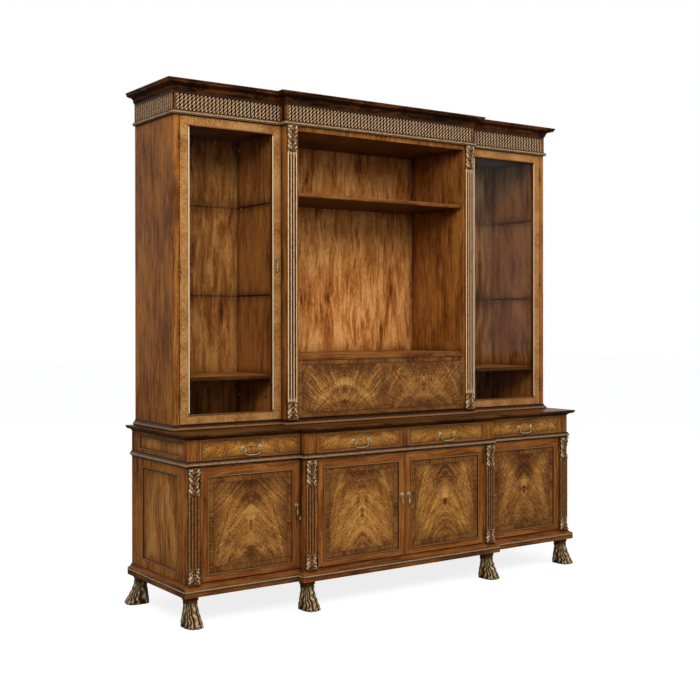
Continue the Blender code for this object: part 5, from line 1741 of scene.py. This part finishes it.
@dataclass
class PawFoot:
    """A lion's paw: a square block, an ankle ridged with tendons, and toes with four claws."""

    block: float = 0.0560
    rise: float = 0.1180
    height: float = 0.1357
    width: float = 0.0810
    toe_reach: float = 0.0520
    heel_reach: float = 0.0040
    ridges: int = 16
    around: int = 112
    rings: int = 42

    def ring(self, t: float) -> list[Quad]:
        """One ring of the paw.

        Args:
            t: From 0 under the block to 1 on the floor.

        Returns:
            Points as (x, y, z, ridge), with the toes towards -Y.
        """
        half = self.block / 2
        spread = Carver.along([(0.0, 0.0), (0.22, -0.06), (0.45, 0.30), (0.66, 0.66), (0.84, 1.0),
                               (0.94, 1.0), (1.0, 0.88)], t)
        reach = Carver.along([(0.0, 0.0), (0.20, 0.05), (0.40, 0.24), (0.60, 0.50), (0.80, 0.84),
                              (0.92, 1.0), (0.97, 0.98), (1.0, 0.88)], t)
        heel = Carver.along([(0.0, 0.0), (0.30, -1.2), (0.62, 0.2), (0.88, 1.0), (1.0, 0.8)], t)
        wide = half + (self.width / 2 - half) * spread
        ahead = half + self.toe_reach * reach
        behind = half + self.heel_reach * heel
        started = Carver.along([(0.0, 0.0), (0.07, 0.0), (0.13, 1.0)], t)
        toed = Carver.along([(0.0, 0.0), (0.55, 0.15), (0.90, 1.0)], t)
        square = 0.42 + 0.26 * t
        points = []
        for number in range(self.around):
            angle = tau * number / self.around
            across, along = sin(angle), cos(angle)
            x = wide * abs(across) ** square * (1 if across > 0 else -1)
            y = -(ahead if along > 0 else -behind) * abs(along) ** square
            # Tendons snake down from the ankle and end in the toes
            sway = 0.05 * sin(17.0 * t + 2.0 * across) * started
            lean = (1 - max(0.0, along)) * (0.5 - t) * 0.30 * (1 if across > 0 else -1)
            phase = (angle + sway + lean) * self.ridges / 2
            crest = abs(cos(phase)) ** 0.8
            front = max(0.0, along) ** 0.5
            deep = started * (0.0024 + front * (0.0012 + 0.0052 * toed))
            broken = 0.5 + 0.5 * sin(26.0 * t + 2.4 * round(phase / pi))
            lump = 0.0013 * started * broken * crest
            away = 1 - ((1 - crest) * deep - lump) / max(0.012, hypot(x, y))
            # Crests are marked proud and the finish paints them pale: a painted highlight
            ridge = 0.38 * (1 - started) + started * (0.14 + crest ** 1.8 * (0.50 + 0.16 * broken))
            points.append((x * away, y * away, self.rise * (1 - t), min(1.0, max(0.0, ridge))))
        return points

    def build(self, finishes: Finishes) -> None:
        """Model one paw and copy it to every foot.

        Args:
            finishes: The cabinet's finishes.
        """
        rings = [[(x, y, z + 0.002, r) for x, y, z, r in self.ring(0.0)]]
        rings += [self.ring(i / self.rings) for i in range(self.rings + 1)]
        ridges = {(round(x, 5), round(y, 5), round(z, 5)): r for ring in rings for x, y, z, r in ring}
        paw = Bench.prism("pattern_paw", [[p[:3] for p in ring] for ring in rings])
        half = self.block / 2
        block = Bench.board("pattern_block", (-half, half), (-half, half), (self.rise, self.height),
                            0.0016)
        claws = [self.claw(share) for share in (-0.75, -0.25, 0.25, 0.75)]
        foot = Bench.smooth(Bench.join([paw, block] + claws, "pattern_foot"), 48.0)
        # Claws are marked proud too, so the finish paints them pale as a painted highlight
        Bench.mark(foot, lambda co: ridges.get(tuple(round(c, 5) for c in co),
                                               0.38 if co.z > self.rise - 0.001 else 0.80))
        for side in Side:
            corner = side.value * (BASE.half_width - half)
            inner = side.value * (BASE.centre_half - half)
            rear = BASE.rear - 0.0150 - half
            for word, x, y, turn in (("corner", corner, BASE.front + half, 0.0),
                                     ("break", inner, BASE.centre_front + half, 0.0),
                                     ("rear", corner, rear, side.value * pi / 2),
                                     ("rear_middle", inner, rear, 0.0)):
                node = f"foot_{word}_{side.word}"
                place = Matrix.Translation((x, y, 0.0)) @ Matrix.Rotation(turn, 4, "Z")
                Bench.fit(Bench.copy(foot, "paw_" + node, place), finishes.paw, "carved_walnut", node)
        bpy.data.objects.remove(foot)

    def claw(self, share: float) -> Piece:
        """A hooked claw at the end of the toe at a share of the half width.

        Args:
            share: From -1 at the left toe to 1 at the right.

        Returns:
            The claw.
        """
        x = self.width / 2 * share * 0.88
        front = -(self.block / 2 + self.toe_reach * (1.0 - 0.10 * share * share))
        line = mm((10.0, 15.0, 4.0), (5.0, 15.0, 4.2), (1.0, 11.5, 3.6), (-1.0, 7.0, 2.4),
                  (-0.5, 2.0, 1.0))
        rings = []
        for step, z, radius in line:
            tilt = 0.9 * (step < 0.004)
            rings.append([(x * (1 - step) + radius * 0.8 * cos(a),
                           front + 0.003 + step + radius * 0.5 * sin(a) * tilt,
                           z + radius * sin(a) * (1 - tilt * 0.6)) for a in
                          (tau * i / 8 for i in range(8))])
        return Bench.prism("pattern_claw", rings)


@dataclass
class Trim:
    """Mouldings run round the breakfront, each length planed by itself and mitred to the next."""

    finishes: Finishes
    strand_pitch: float = 0.0240
    rope_points: int = 18
    rope_steps: int = 14

    def lengths(self, name: str, section: Sequence[Span], plan: Plan, low: float) -> Piece:
        """Run a closed section round a plan.

        Args:
            name: The moulding's name.
            section: Points as (outward, upward), going round the section.
            plan: The plan that outward is counted from.
            low: The Z that upward is counted from.

        Returns:
            The moulding, with its grain along each length and its ridges marked.
        """
        bars = []
        proudest = max(out for out, _ in section)
        hollow = min(out for out, _ in section[1:-1])
        for number in range(7):
            rings = [[(*plan.corners(out)[end], low + up) for out, up in section]
                     for end in (number, number + 1)]
            bar = Bench.prism(f"{name}_{number}", rings)
            along = 0 if number % 2 else 1

            def place(co: Vector, axis: int = along, by: float = 0.7 * number) -> Span:
                """The grain map of this length."""
                return (co.z + co[1 - axis] + by, co[axis])

            bars.append(Bench.map_grain(bar, place))
        piece = Bench.smooth(Bench.join(bars, name), 28.0)
        # How far each point stands out is marked, and the finish paints it pale: a painted highlight
        Bench.mark(piece, lambda co: (self.stand_off(plan, co) - hollow) / (proudest - hollow))
        return piece

    @staticmethod
    def stand_off(plan: Plan, co: Vector) -> float:
        """How far outside a plan a point stands.

        Args:
            plan: The plan.
            co: The point.

        Returns:
            The distance in metres.
        """
        x = abs(co.x)
        front = plan.centre_front if x < (plan.centre_half + plan.half_width) / 2 else plan.front
        return max(x - plan.half_width, front - co.y if x < plan.half_width else -1.0,
                   min(x - plan.centre_half, plan.front - co.y))

    def solid(self, name: str, shares: Sequence[Span], inner: Plan, outer: Plan, low: float,
              height: float) -> Piece:
        """A slab over the whole plan with a moulded edge.

        Args:
            name: The slab's name.
            shares: (share of the way from inner to outer, share of the height), walking up.
            inner: The plan at share 0.
            outer: The plan at share 1.
            low: The slab's lower face.
            height: Its height.

        Returns:
            The slab.
        """
        rings = [[(x, y, low + height * up) for x, y in inner.toward(outer, out).corners()]
                 for out, up in shares]
        return Bench.smooth(Bench.prism(name, rings), 28.0)

    def strand(self, name: str, length: float, radius: float) -> Piece:
        """A rope of three strands, upright from the origin.

        Args:
            name: The rope's name.
            length: Its length.
            radius: Its radius over the strands.

        Returns:
            The rope, with its strands' crests marked as ridges.
        """
        Bench.clear()
        bpy.ops.mesh.primitive_circle_add(vertices=self.rope_points, radius=radius,
                                          location=(0.0, 0.0, 0.0))
        piece = Bench.take(name)
        for vertex in piece.data.vertices:
            turn = atan2(vertex.co.y, vertex.co.x)
            vertex.co *= 0.52 + 0.48 * abs(cos(1.5 * turn)) ** 0.8
        steps = max(2, round(self.rope_steps * length / self.strand_pitch))
        Bench.apply(piece, "SCREW", axis="Z", angle=tau * length / self.strand_pitch, steps=steps,
                    render_steps=steps, screw_offset=length, iterations=1)
        Bench.edit()
        bpy.ops.mesh.fill_holes(sides=0)
        Bench.close()
        # Strand crests are marked proud and the finish paints them pale: a painted highlight, dark valleys
        # painted shade
        Bench.mark(piece, lambda co: (hypot(co.x, co.y) / radius - 0.62) / 0.38)
        return Bench.smooth(piece, 60.0)

    def rope(self, name: str, plan: Plan, out: float, z: float, radius: float) -> None:
        """Lay a rope along each straight length of a plan.

        Args:
            name: The rope's name.
            plan: The plan.
            out: How far outside the plan its middle lies.
            z: The height of its middle.
            radius: Its radius.
        """
        ropes = []
        for run in plan.runs(out):
            strand = self.strand(f"{name}_{run.number}", run.length, radius)
            laid = Matrix.Rotation(-run.turn, 4, "X") if run.turn else Matrix.Rotation(pi / 2, 4, "Y")
            ropes.append(Bench.settle(strand, Matrix.Translation((*run.start, z)) @ laid))
        Bench.fit(Bench.join(ropes, name), self.finishes.rope, "carved_walnut")

    def rear_rail(self, name: str, half: float, depth: float, z: Span) -> Piece:
        """A plain rail across the back."""
        return Bench.board(name, (-half, half), (UPPER.rear - depth, UPPER.rear), z, 0.0006)

    def build(self) -> None:
        """Run the plinth, the mid moulding, the top and the upper base moulding."""
        section = mm((-78.0, 0.2), (22.5, 0.2), (23.6, 1.4), (23.6, 17.0), (22.6, 18.0), (22.6, 19.6),
                     (24.6, 20.6), (24.8, 21.8), (20.5, 22.4), (19.0, 23.0), (19.0, 29.2), (20.5, 29.8),
                     (23.8, 30.4), (23.6, 31.8), (22.2, 32.8), (22.2, 34.4), (20.8, 35.8), (17.2, 37.0),
                     (13.0, 38.6), (9.6, 41.0), (6.8, 44.4), (5.2, 47.8), (4.6, 49.8), (2.4, 50.2),
                     (2.0, 53.6), (-78.0, 53.6))
        rail = self.rear_rail("plinth_rear_rail", 1.1050, 0.0780, (0.1364, 0.1894))
        plinth = self.lengths("plinth_moulding", section, BASE, 0.1360)
        Bench.fit(plinth, self.finishes.base_mould, "dark_walnut", "plinth")
        Bench.fit(rail, self.finishes.level, "dark_walnut")
        self.rope("plinth_rope", BASE, 0.0214, 0.1621, 0.0040)
        section = mm((0.4, 0.2), (3.0, 0.2), (3.6, 1.0), (3.6, 3.6), (5.2, 4.4), (9.6, 5.0), (10.2, 6.0),
                     (9.6, 7.0), (6.8, 7.8), (5.6, 8.4), (5.6, 14.2), (6.8, 14.8), (11.0, 15.6),
                     (11.8, 16.6), (11.0, 17.6), (8.6, 18.6), (6.6, 20.0), (5.4, 22.0), (4.8, 24.0),
                     (3.0, 24.4), (2.8, 26.6), (0.4, 26.6))
        waist = self.lengths("waist_moulding", section, BASE, 0.7080)
        Bench.fit(waist, self.finishes.moulded, "carved_walnut", "rope_moulding")
        self.rope("waist_rope", BASE, 0.0084, 0.7193, 0.0040)
        outer = Plan(BASE.half_width + 0.0330, BASE.front - 0.0330, BASE.centre_half + 0.0180,
                     BASE.centre_front - 0.0330)
        inner = Plan(BASE.half_width + 0.0030, BASE.front - 0.0030, BASE.centre_half + 0.0030,
                     BASE.centre_front - 0.0030)
        shares = [(0.0, 0.0), (0.0, 0.06), (0.10, 0.08), (0.12, 0.16), (0.16, 0.22), (0.26, 0.28),
                  (0.44, 0.33), (0.62, 0.38), (0.76, 0.45), (0.84, 0.53), (0.86, 0.58), (0.93, 0.60),
                  (0.93, 0.66), (0.965, 0.68), (0.985, 0.72), (1.0, 0.78), (1.0, 0.92), (0.988, 0.97),
                  (0.965, 0.9985)]
        top = self.solid("moulded_tabletop", shares, inner, outer, 0.8312, 0.0268)
        Bench.fit(top, self.finishes.top, "walnut", "tabletop")
        section = mm((0.4, 0.2), (11.0, 0.2), (12.8, 1.4), (13.8, 3.6), (13.8, 7.0), (13.0, 9.2),
                     (11.2, 10.6), (10.0, 11.0), (10.0, 12.8), (8.4, 13.8), (6.2, 15.2), (4.6, 17.2),
                     (3.8, 19.6), (3.6, 21.4), (2.2, 22.0), (2.0, 24.8), (0.4, 24.8))
        foot = self.lengths("upper_foot_moulding", section, UPPER, 0.8584)
        Bench.fit(foot, self.finishes.moulded, "carved_walnut", "upper_base_moulding")


@dataclass
class Frieze(Trim):
    """The frieze: a recessed field of guilloche lattice between plain borders, over a rope."""

    low: float = 2.3043
    high: float = 2.4101
    recess: float = -0.0020
    face: float = 0.0030
    field: Span = (2.3275, 2.3995)
    column: float = 0.0205
    post: float = 0.0080
    waves: float = 4.0

    def build(self) -> None:
        """Build the field and its borders, the rope and the lattice."""
        low, high = self.field[0] - self.low, self.field[1] - self.low
        top = self.high - self.low
        section = mm((-17.0, 0.0), (3.6, 0.0), (12.2, 0.8), (13.0, 2.0), (12.2, 3.4), (9.6, 4.0),
                     (8.4, 4.8), (8.4, 13.2), (9.6, 14.0), (11.8, 14.6), (12.4, 15.6), (11.6, 16.8),
                     (8.0, 17.6), (6.0, 18.6), (4.4, 19.0))
        section += [(self.face, 0.0196), (self.face, low - 0.0014), (0.0010, low - 0.0002),
                    (self.recess, low), (self.recess, high), (0.0010, high + 0.0002),
                    (self.face, high + 0.0014), (self.face, top), (-0.0170, top)]
        board = self.lengths("frieze_board", section, UPPER, self.low)
        Bench.fit(board, self.finishes.moulded, "carved_walnut", "frieze")
        rail = self.rear_rail("frieze_rear_rail", 1.1480, 0.0200, (self.low, self.high))
        Bench.fit(rail, self.finishes.upright, "carved_walnut")
        self.rope("frieze_rope", UPPER, 0.0112, self.low + 0.0090, 0.0043)
        self.posts()
        tile = self.tile()
        for run in UPPER.runs(self.recess):
            if run.number not in (2, 4):
                self.lattice(tile, run)
        bpy.data.objects.remove(tile)

    def posts(self) -> None:
        """Plain blocks that close the field at each corner."""
        blocks = []
        z = (self.field[0] - 0.0008, self.field[1] + 0.0008)
        rise = self.face - self.recess
        for run in UPPER.runs(self.recess):
            last = run.length + (rise if run.number < 6 else 0.0)
            for span in ((-rise, self.post) if run.number else (0.0, self.post + rise),
                         (run.length - self.post, last)):
                near, far = run.at(span[0], -0.001), run.at(span[1], rise)
                blocks.append(Bench.board(f"frieze_post_{len(blocks)}", (near[0], far[0]),
                                          (near[1], far[1]), z, 0.0005))
        Bench.fit(Bench.join(blocks, "frieze_posts"), self.finishes.level, "carved_walnut")

    def tile(self) -> Piece:
        """One column of the lattice: two strands that cross over and under each other.

        Returns:
            The column, centred on X.
        """
        height = self.field[1] - self.field[0]
        deep = self.face - self.recess - 0.0004

        def surface(u: float, v: float) -> Quad:
            """A point of the crossing strands and its ridge.

            Args:
                u: The share across.
                v: The share up.

            Returns:
                The point as (x, y, z, ridge).
            """
            s = u - 0.5
            turn = pi * self.waves * v
            # Where a strand crosses over it stands proud, and the finish paints it pale: a painted
            # highlight
            proud = 0.0
            for sign in (-1, 1):
                centre = -sign * 0.25 * sin(turn)
                over = 0.70 - sign * 0.27 * cos(turn)
                away = (s - centre) / (0.17 + 0.04 * abs(cos(turn)))
                if abs(away) < 1:
                    proud = max(proud, over * (1 - away * away) ** 0.4)
            return (s * self.column, -proud * deep - 0.0001, self.field[0] + height * v, proud)

        return Bench.relief("pattern_lattice", 14, 48, surface, 0.0010)

    def lattice(self, tile: Piece, run: Run) -> None:
        """Fill one length of the frieze with copies of the column, squeezed a little to fit.

        Args:
            tile: The modelled column.
            run: The length.
        """
        free = run.length - 2 * self.post
        count = round(free / self.column)
        pitch = free / count
        squeezed = Matrix.Rotation(run.turn, 4, "Z") @ Matrix.Diagonal((pitch / self.column, 1, 1, 1))
        copies = [Bench.copy(tile, f"lattice_{run.number}_{index}", Matrix.Translation(
            (*run.at(self.post + pitch * (index + 0.5)), 0.0)) @ squeezed) for index in range(count)]
        Bench.fit(Bench.join(copies, f"frieze_lattice_{run.number}"), self.finishes.lattice,
                  "carved_walnut")


@dataclass
class Crown(Trim):
    """The crown moulding: bead, cove, ovolo and fillets, with a sunk board behind it."""

    low: float = 2.4104
    height: float = 0.0496
    reach: float = 0.0460
    face: float = 0.0030

    def build(self) -> None:
        """Run the moulding and lay the board and rear rail behind it."""
        shares = [(0.05, 0.0), (0.05, 0.09), (0.10, 0.105), (0.145, 0.13), (0.165, 0.17), (0.145, 0.21),
                  (0.10, 0.235), (0.13, 0.25), (0.17, 0.26)]
        shares += [(0.17 + 0.43 * (1 - cos(a)), 0.27 + 0.31 * sin(a)) for a in
                   (pi / 2 * i / 9 for i in range(10))]
        shares += [(0.64, 0.585), (0.66, 0.60)]
        shares += [(0.66 + 0.26 * sin(a), 0.60 + 0.20 * (1 - cos(a))) for a in
                   (pi / 2 * i / 8 for i in range(1, 9))]
        shares += [(0.92, 0.835), (0.955, 0.845), (0.985, 0.855), (1.0, 0.875), (1.0, 0.975),
                   (0.99, 0.998)]
        section = [(-0.0320, 0.0)] + [(self.face + self.reach * out, self.height * up)
                                      for out, up in shares] + [(-0.0320, self.height)]
        crown = self.lengths("crown_moulding", section, UPPER, self.low)
        Bench.fit(crown, self.finishes.cornice, "dark_walnut", "crown")
        rail = self.rear_rail("crown_rear_rail", 1.1340, 0.0345, (self.low, self.low + self.height))
        Bench.fit(rail, self.finishes.cornice, "dark_walnut")
        ring = UPPER.corners(-0.0310)
        board = Bench.prism("crown_board", [[(x, y, self.low + up) for x, y in ring]
                                            for up in (0.0, 0.0150)])
        Bench.fit(board, self.finishes.level, "dark_walnut")


@dataclass
class EndPanels:
    """The sunk veneered panels of the base's ends, each in a rounded bead."""

    finishes: Finishes
    sink: float = 0.0080
    lower: Quad = (-0.1580, 0.2270, 0.2250, 0.6700)
    upper: Quad = (-0.2135, 0.2595, 0.7470, 0.8190)

    def build(self) -> None:
        """Build both panels of both ends."""
        for side in Side:
            turn = Matrix.Translation((side.value * BASE.half_width, 0.0, 0.0)) \
                @ Matrix.Rotation(side.value * pi / 2, 4, "Z")
            for level, (y0, y1, z0, z1) in (("lower", self.lower), ("upper", self.upper)):
                ends = sorted((side.value * y0, side.value * y1))
                rect = Rect(ends[0], ends[1], z0, z1)
                name = f"end_{level}_{side.word}"
                joiner = Joiner("cabinet", self.sink, "walnut")
                inner = rect.inset(0.0050)
                field = joiner.panel(name + "_field", inner, self.finishes.end_veneer(inner), 0.0012)
                bead = joiner.bead(name + "_bead", rect.inset(-0.0004), 0.0075, 0.0092,
                                   self.finishes.moulded)
                Bench.settle(field, turn)
                Bench.settle(bead, turn)


@dataclass
class Interior:
    """Veneered backs, shelf lippings, brass shelf pins and the fittings that join the stages."""

    finishes: Finishes
    wing_x: Span = (0.6123, 1.1382)
    centre_half: float = 0.5250
    back: float = 0.3235
    wing_levels: tuple[Span, ...] = ((0.8838, 1.0797), (1.1003, 2.2797))
    centre_levels: tuple[Span, ...] = ((0.8838, 1.1682), (1.1948, 2.2797))
    pin_radius: float = 0.0034

    def build(self) -> None:
        """Build the linings and the small brass."""
        joiner = Joiner("cabinet", self.back, "walnut", sink=0.0002)
        for side in Side:
            for number, (z0, z1) in enumerate(self.wing_levels):
                rect = Rect.of(side, self.wing_x[0] + 0.0004, self.wing_x[1] - 0.0004, z0, z1)
                joiner.panel(f"wing_back_{side.word}_{number}", rect, self.finishes.inside, 0.0016)
        for number, (z0, z1) in enumerate(self.centre_levels):
            rect = Rect(-self.centre_half + 0.0004, self.centre_half - 0.0004, z0, z1)
            joiner.panel(f"centre_back_{number}", rect, self.finishes.bay_back, 0.0016)
        self.lippings()
        self.pins()
        self.fittings()

    def lippings(self) -> None:
        """Half-round edges on the fixed and the display shelves."""
        centre_y, display_y, wing_y = UPPER.centre_front, -0.1065, -0.0582
        for name, x, y, z in (
                ("television_shelf_lipping", (-0.5248, 0.5248), centre_y, (1.1687, 1.1943)),
                ("display_shelf_lipping", (-0.5243, 0.5243), display_y, (1.9662, 1.9858)),
                ("wing_shelf_lipping_left", (-1.1380, -0.6125), wing_y, (1.0802, 1.0998)),
                ("wing_shelf_lipping_right", (0.6125, 1.1380), wing_y, (1.0802, 1.0998))):
            piece = Bench.board(name, x, (y + 0.0040, y - 0.0022), z, 0.0026)
            Bench.fit(Bench.smooth(piece, 30.0), self.finishes.level, "walnut")

    def pins(self) -> None:
        """Turned brass pins under the loose shelves."""
        profile = [(0.0, -0.0012), (self.pin_radius, -0.0012), (self.pin_radius, 0.0008),
                   (0.0031, 0.0012), (0.0031, 0.0064), (0.0026, 0.0074), (0.0, 0.0078)]
        spots = []
        for side in Side:
            near, far, middle = (side.value * x for x in (*self.wing_x, self.centre_half))
            spots += [(x, y, bottom, inward) for bottom in (1.4825, 1.9320)
                      for y in (self.back - 0.05, 0.0080)
                      for x, inward in ((near, side.value), (far, -side.value))]
            spots += [(middle, y, 1.9660, -side.value) for y in (self.back - 0.05, -0.0565)]
        lowered = [(x, y, bottom + 0.0001 - self.pin_radius, inward) for x, y, bottom, inward in spots]
        self.spread(Bench.turned("pattern_pin", profile, 12), "shelf_pins", lowered)

    def fittings(self) -> None:
        """Round brass connectors, two at each of three heights on the inner wall of each wing."""
        profile = mm((0.0, -0.5), (8.5, -0.5), (8.8, 0.8), (8.0, 2.0), (6.0, 2.4), (5.4, 1.8), (3.0, 1.8),
                     (2.6, 3.4), (0.0, 3.6))
        spots = [(side.value * self.wing_x[0], y, z, side.value) for side in Side
                 for y in (0.3000, 0.0300) for z in (2.2300, 1.6500, 0.9850)]
        self.spread(Bench.turned("pattern_fitting", profile, 20), "stage_connectors", spots)

    def spread(self, pattern: Piece, name: str, spots: Sequence[tuple[float, float, float, int]]) -> None:
        """Set copies of a turned pattern in the walls and make them one piece.

        Args:
            pattern: The upright pattern, which is used up.
            name: The piece's name.
            spots: Where each goes as (x, y, z), and the sign of the X that it faces.
        """
        copies = [Bench.copy(pattern, f"{name}_{number}", Matrix.Translation((x, y, z))
                             @ Matrix.Rotation(inward * pi / 2, 4, "Y"))
                  for number, (x, y, z, inward) in enumerate(spots)]
        Bench.fit(Bench.join(copies, name), self.finishes.brass, "antique_brass")
        bpy.data.objects.remove(pattern)


@dataclass
class Carcass:
    """The CAD solids, with their real finishes in the slots that they have."""

    finishes: Finishes

    def build(self) -> None:
        """Repaint every node by the start of its name; a later row counts before an earlier one."""
        made = self.finishes
        for material, starts in (
                (made.upright, ("base_case_", "upper_case_", "base_door_", "glazed_door_")),
                (made.level, ("display_shelf", "fall_flap", "tabletop")),
                (made.lining, ("cupboard_shelf_", "drawer_")),
                (made.glass, ("glass_shelf_", "glass_pane_")),
                (made.brass, ("drawer_bail", "base_pull", "glazed_pull", "key_")),
                (made.carved, ("base_pilaster_", "upper_pilaster_", "foot_")),
                (made.cornice, ("plinth", "crown")),
                (made.moulded, ("rope_moulding", "upper_base_moulding", "frieze"))):
            for name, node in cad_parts.items():
                if name.startswith(starts):
                    for slot in node.material_slots:
                        slot.material = material


@dataclass
class Studio:
    """A pale floor, soft lamps and the camera at the photograph's angle."""

    eye: Point = (-3.4257, -4.7148, 1.3570)
    heading: float = -34.946
    pitch: float = 90.0 - 0.128
    roll: float = -0.054
    lens: float = 57.57
    shift: float = -0.0372

    def build(self) -> None:
        """Set the floor, lamps, world and camera."""
        self.floor()
        self.world()
        self.lamp("key_softbox", (-3.6, -4.4, 4.2), (0.0, 0.0, 1.1), 2.4, 215.0)
        self.lamp("fill_softbox", (4.2, -3.6, 2.6), (0.2, 0.0, 1.2), 3.4, 64.0)
        self.lamp("top_softbox", (0.0, -1.6, 4.6), (0.0, 0.2, 0.6), 3.0, 50.0)
        self.camera()
        bpy.context.scene.view_settings.view_transform = "Standard"

    def floor(self) -> None:
        """A wide painted floor that shows as white where no shadow falls."""
        Bench.clear()
        bpy.ops.mesh.primitive_plane_add(size=60.0, location=(0.0, 0.0, 0.0))
        floor = Bench.take("studio_floor")
        mix = Mixer("studio_floor_paint")
        tree = mix.tree
        mottle = mix.add("TexNoise", Vector=mix.add("TexCoord", out="Object"), Scale=1.2, Detail=2.0,
                         Roughness=0.55)
        tree.nodes.remove(mix.shader)
        paint, thin = (mix.add("BsdfDiffuse", mix.add("ValToRGB", mottle, stops=[(0.0, low), (1.0, high)]))
                       for low, high in (("8C8C8A", "929290"), ("9C9CA0", "A0A0A4")))
        glow = mix.add("Emission", Color="FFFFFF", Strength=0.82)
        seen = mix.add("LightPath", out="Is Camera Ray")
        chosen = mix.add("MixShader", seen, paint, mix.add("AddShader", thin, glow))
        tree.links.new(chosen, tree.nodes["Material Output"].inputs["Surface"])
        Bench.dress(floor, mix.material)

    def world(self) -> None:
        """A white backdrop for what sees it straight, and a dimmer light on the cabinet."""
        world = bpy.data.worlds.new("studio_backdrop")
        world.use_nodes = True
        tree = world.node_tree
        rays = add(tree, "LightPath", out=None)
        seen = add(tree, "Math/MAXIMUM", rays["Is Camera Ray"], rays["Is Transmission Ray"])
        seen = add(tree, "Math/MAXIMUM", seen, rays["Is Glossy Ray"])
        power = add(tree, "MapRange", Value=seen, To_Min=0.48, To_Max=1.0)
        ground = tree.nodes["Background"]
        ground.inputs["Color"].default_value = linear("FFFFFF")
        tree.links.new(power, ground.inputs["Strength"])
        bpy.context.scene.world = world

    def lamp(self, name: str, at: Point, to: Point, size: float, watts: float) -> None:
        """A square softbox.

        Args:
            name: The lamp's name.
            at: Where it hangs.
            to: Where it points.
            size: The length of its sides.
            watts: Its power.
        """
        light = bpy.data.lights.new(name, "AREA")
        light.shape = "SQUARE"
        light.size = size
        light.energy = watts
        lamp = bpy.data.objects.new(name, light)
        lamp.visible_glossy = False
        bpy.context.scene.collection.objects.link(lamp)
        aim = (Vector(to) - Vector(at)).to_track_quat("-Z", "Y")
        lamp.matrix_world = Matrix.Translation(at) @ aim.to_matrix().to_4x4()

    def camera(self) -> None:
        """The photograph's viewpoint."""
        lens = bpy.data.cameras.new("photograph_view")
        lens.sensor_width = 36.0
        lens.lens = self.lens
        lens.shift_y = self.shift
        lens.clip_end = 200.0
        camera = bpy.data.objects.new("photograph_view", lens)
        bpy.context.scene.collection.objects.link(camera)
        camera.matrix_world = Matrix.Translation(self.eye) \
            @ Matrix.Rotation(radians(self.heading), 4, "Z") \
            @ Matrix.Rotation(radians(self.pitch), 4, "X") \
            @ Matrix.Rotation(radians(self.roll), 4, "Z")
        bpy.context.scene.camera = camera


def pilasters() -> list[Pilaster]:
    """The six fluted pilasters, with the base's at its corners and breaks.

    Returns:
        The pilasters, ready to build.
    """
    made = []
    for side in Side:
        for word, near, far, face in (("corner", 1.1234, 1.1834, BASE.front),
                                      ("break", 0.5325, 0.5925, BASE.centre_front)):
            x = tuple(sorted((side.value * near, side.value * far)))
            made.append(Pilaster(f"base_pilaster_{word}_{side.word}", x, face, 0.1903, 0.7077, 0.0700,
                                 0.0170, 0.1250, 0.0210))
        x = tuple(sorted((side.value * 0.5330, side.value * 0.5930)))
        made.append(Pilaster(f"upper_pilaster_{side.word}", x, UPPER.centre_front, 0.8838, 2.3037,
                             0.0900, 0.0190, 0.1290, 0.0230, flute=0.0108, rib=0.95))
    return made


def main() -> None:
    """Build the cabinet's looks from the floor up, and the studio round it."""
    logging.basicConfig(level=logging.INFO, format="%(name)s: %(message)s")
    finishes = Finishes()
    Carcass(finishes).build()
    brass = Brassware(finishes)
    PawFoot().build(finishes)
    Trim(finishes).build()
    Frieze(finishes).build()
    Crown(finishes).build()
    EndPanels(finishes).build()
    Interior(finishes).build()
    for pilaster in pilasters():
        pilaster.build(finishes)
    for side in Side:
        for bay in Bay:
            CupboardDoor(side, bay).build(finishes, brass)
            Drawer(side, bay).build(finishes, brass)
        GlazedDoor(side).build(finishes, brass)
    FallFlap().build(finishes)
    brass.clean_up()
    Studio().build()


if __name__ == "__main__":
    main()
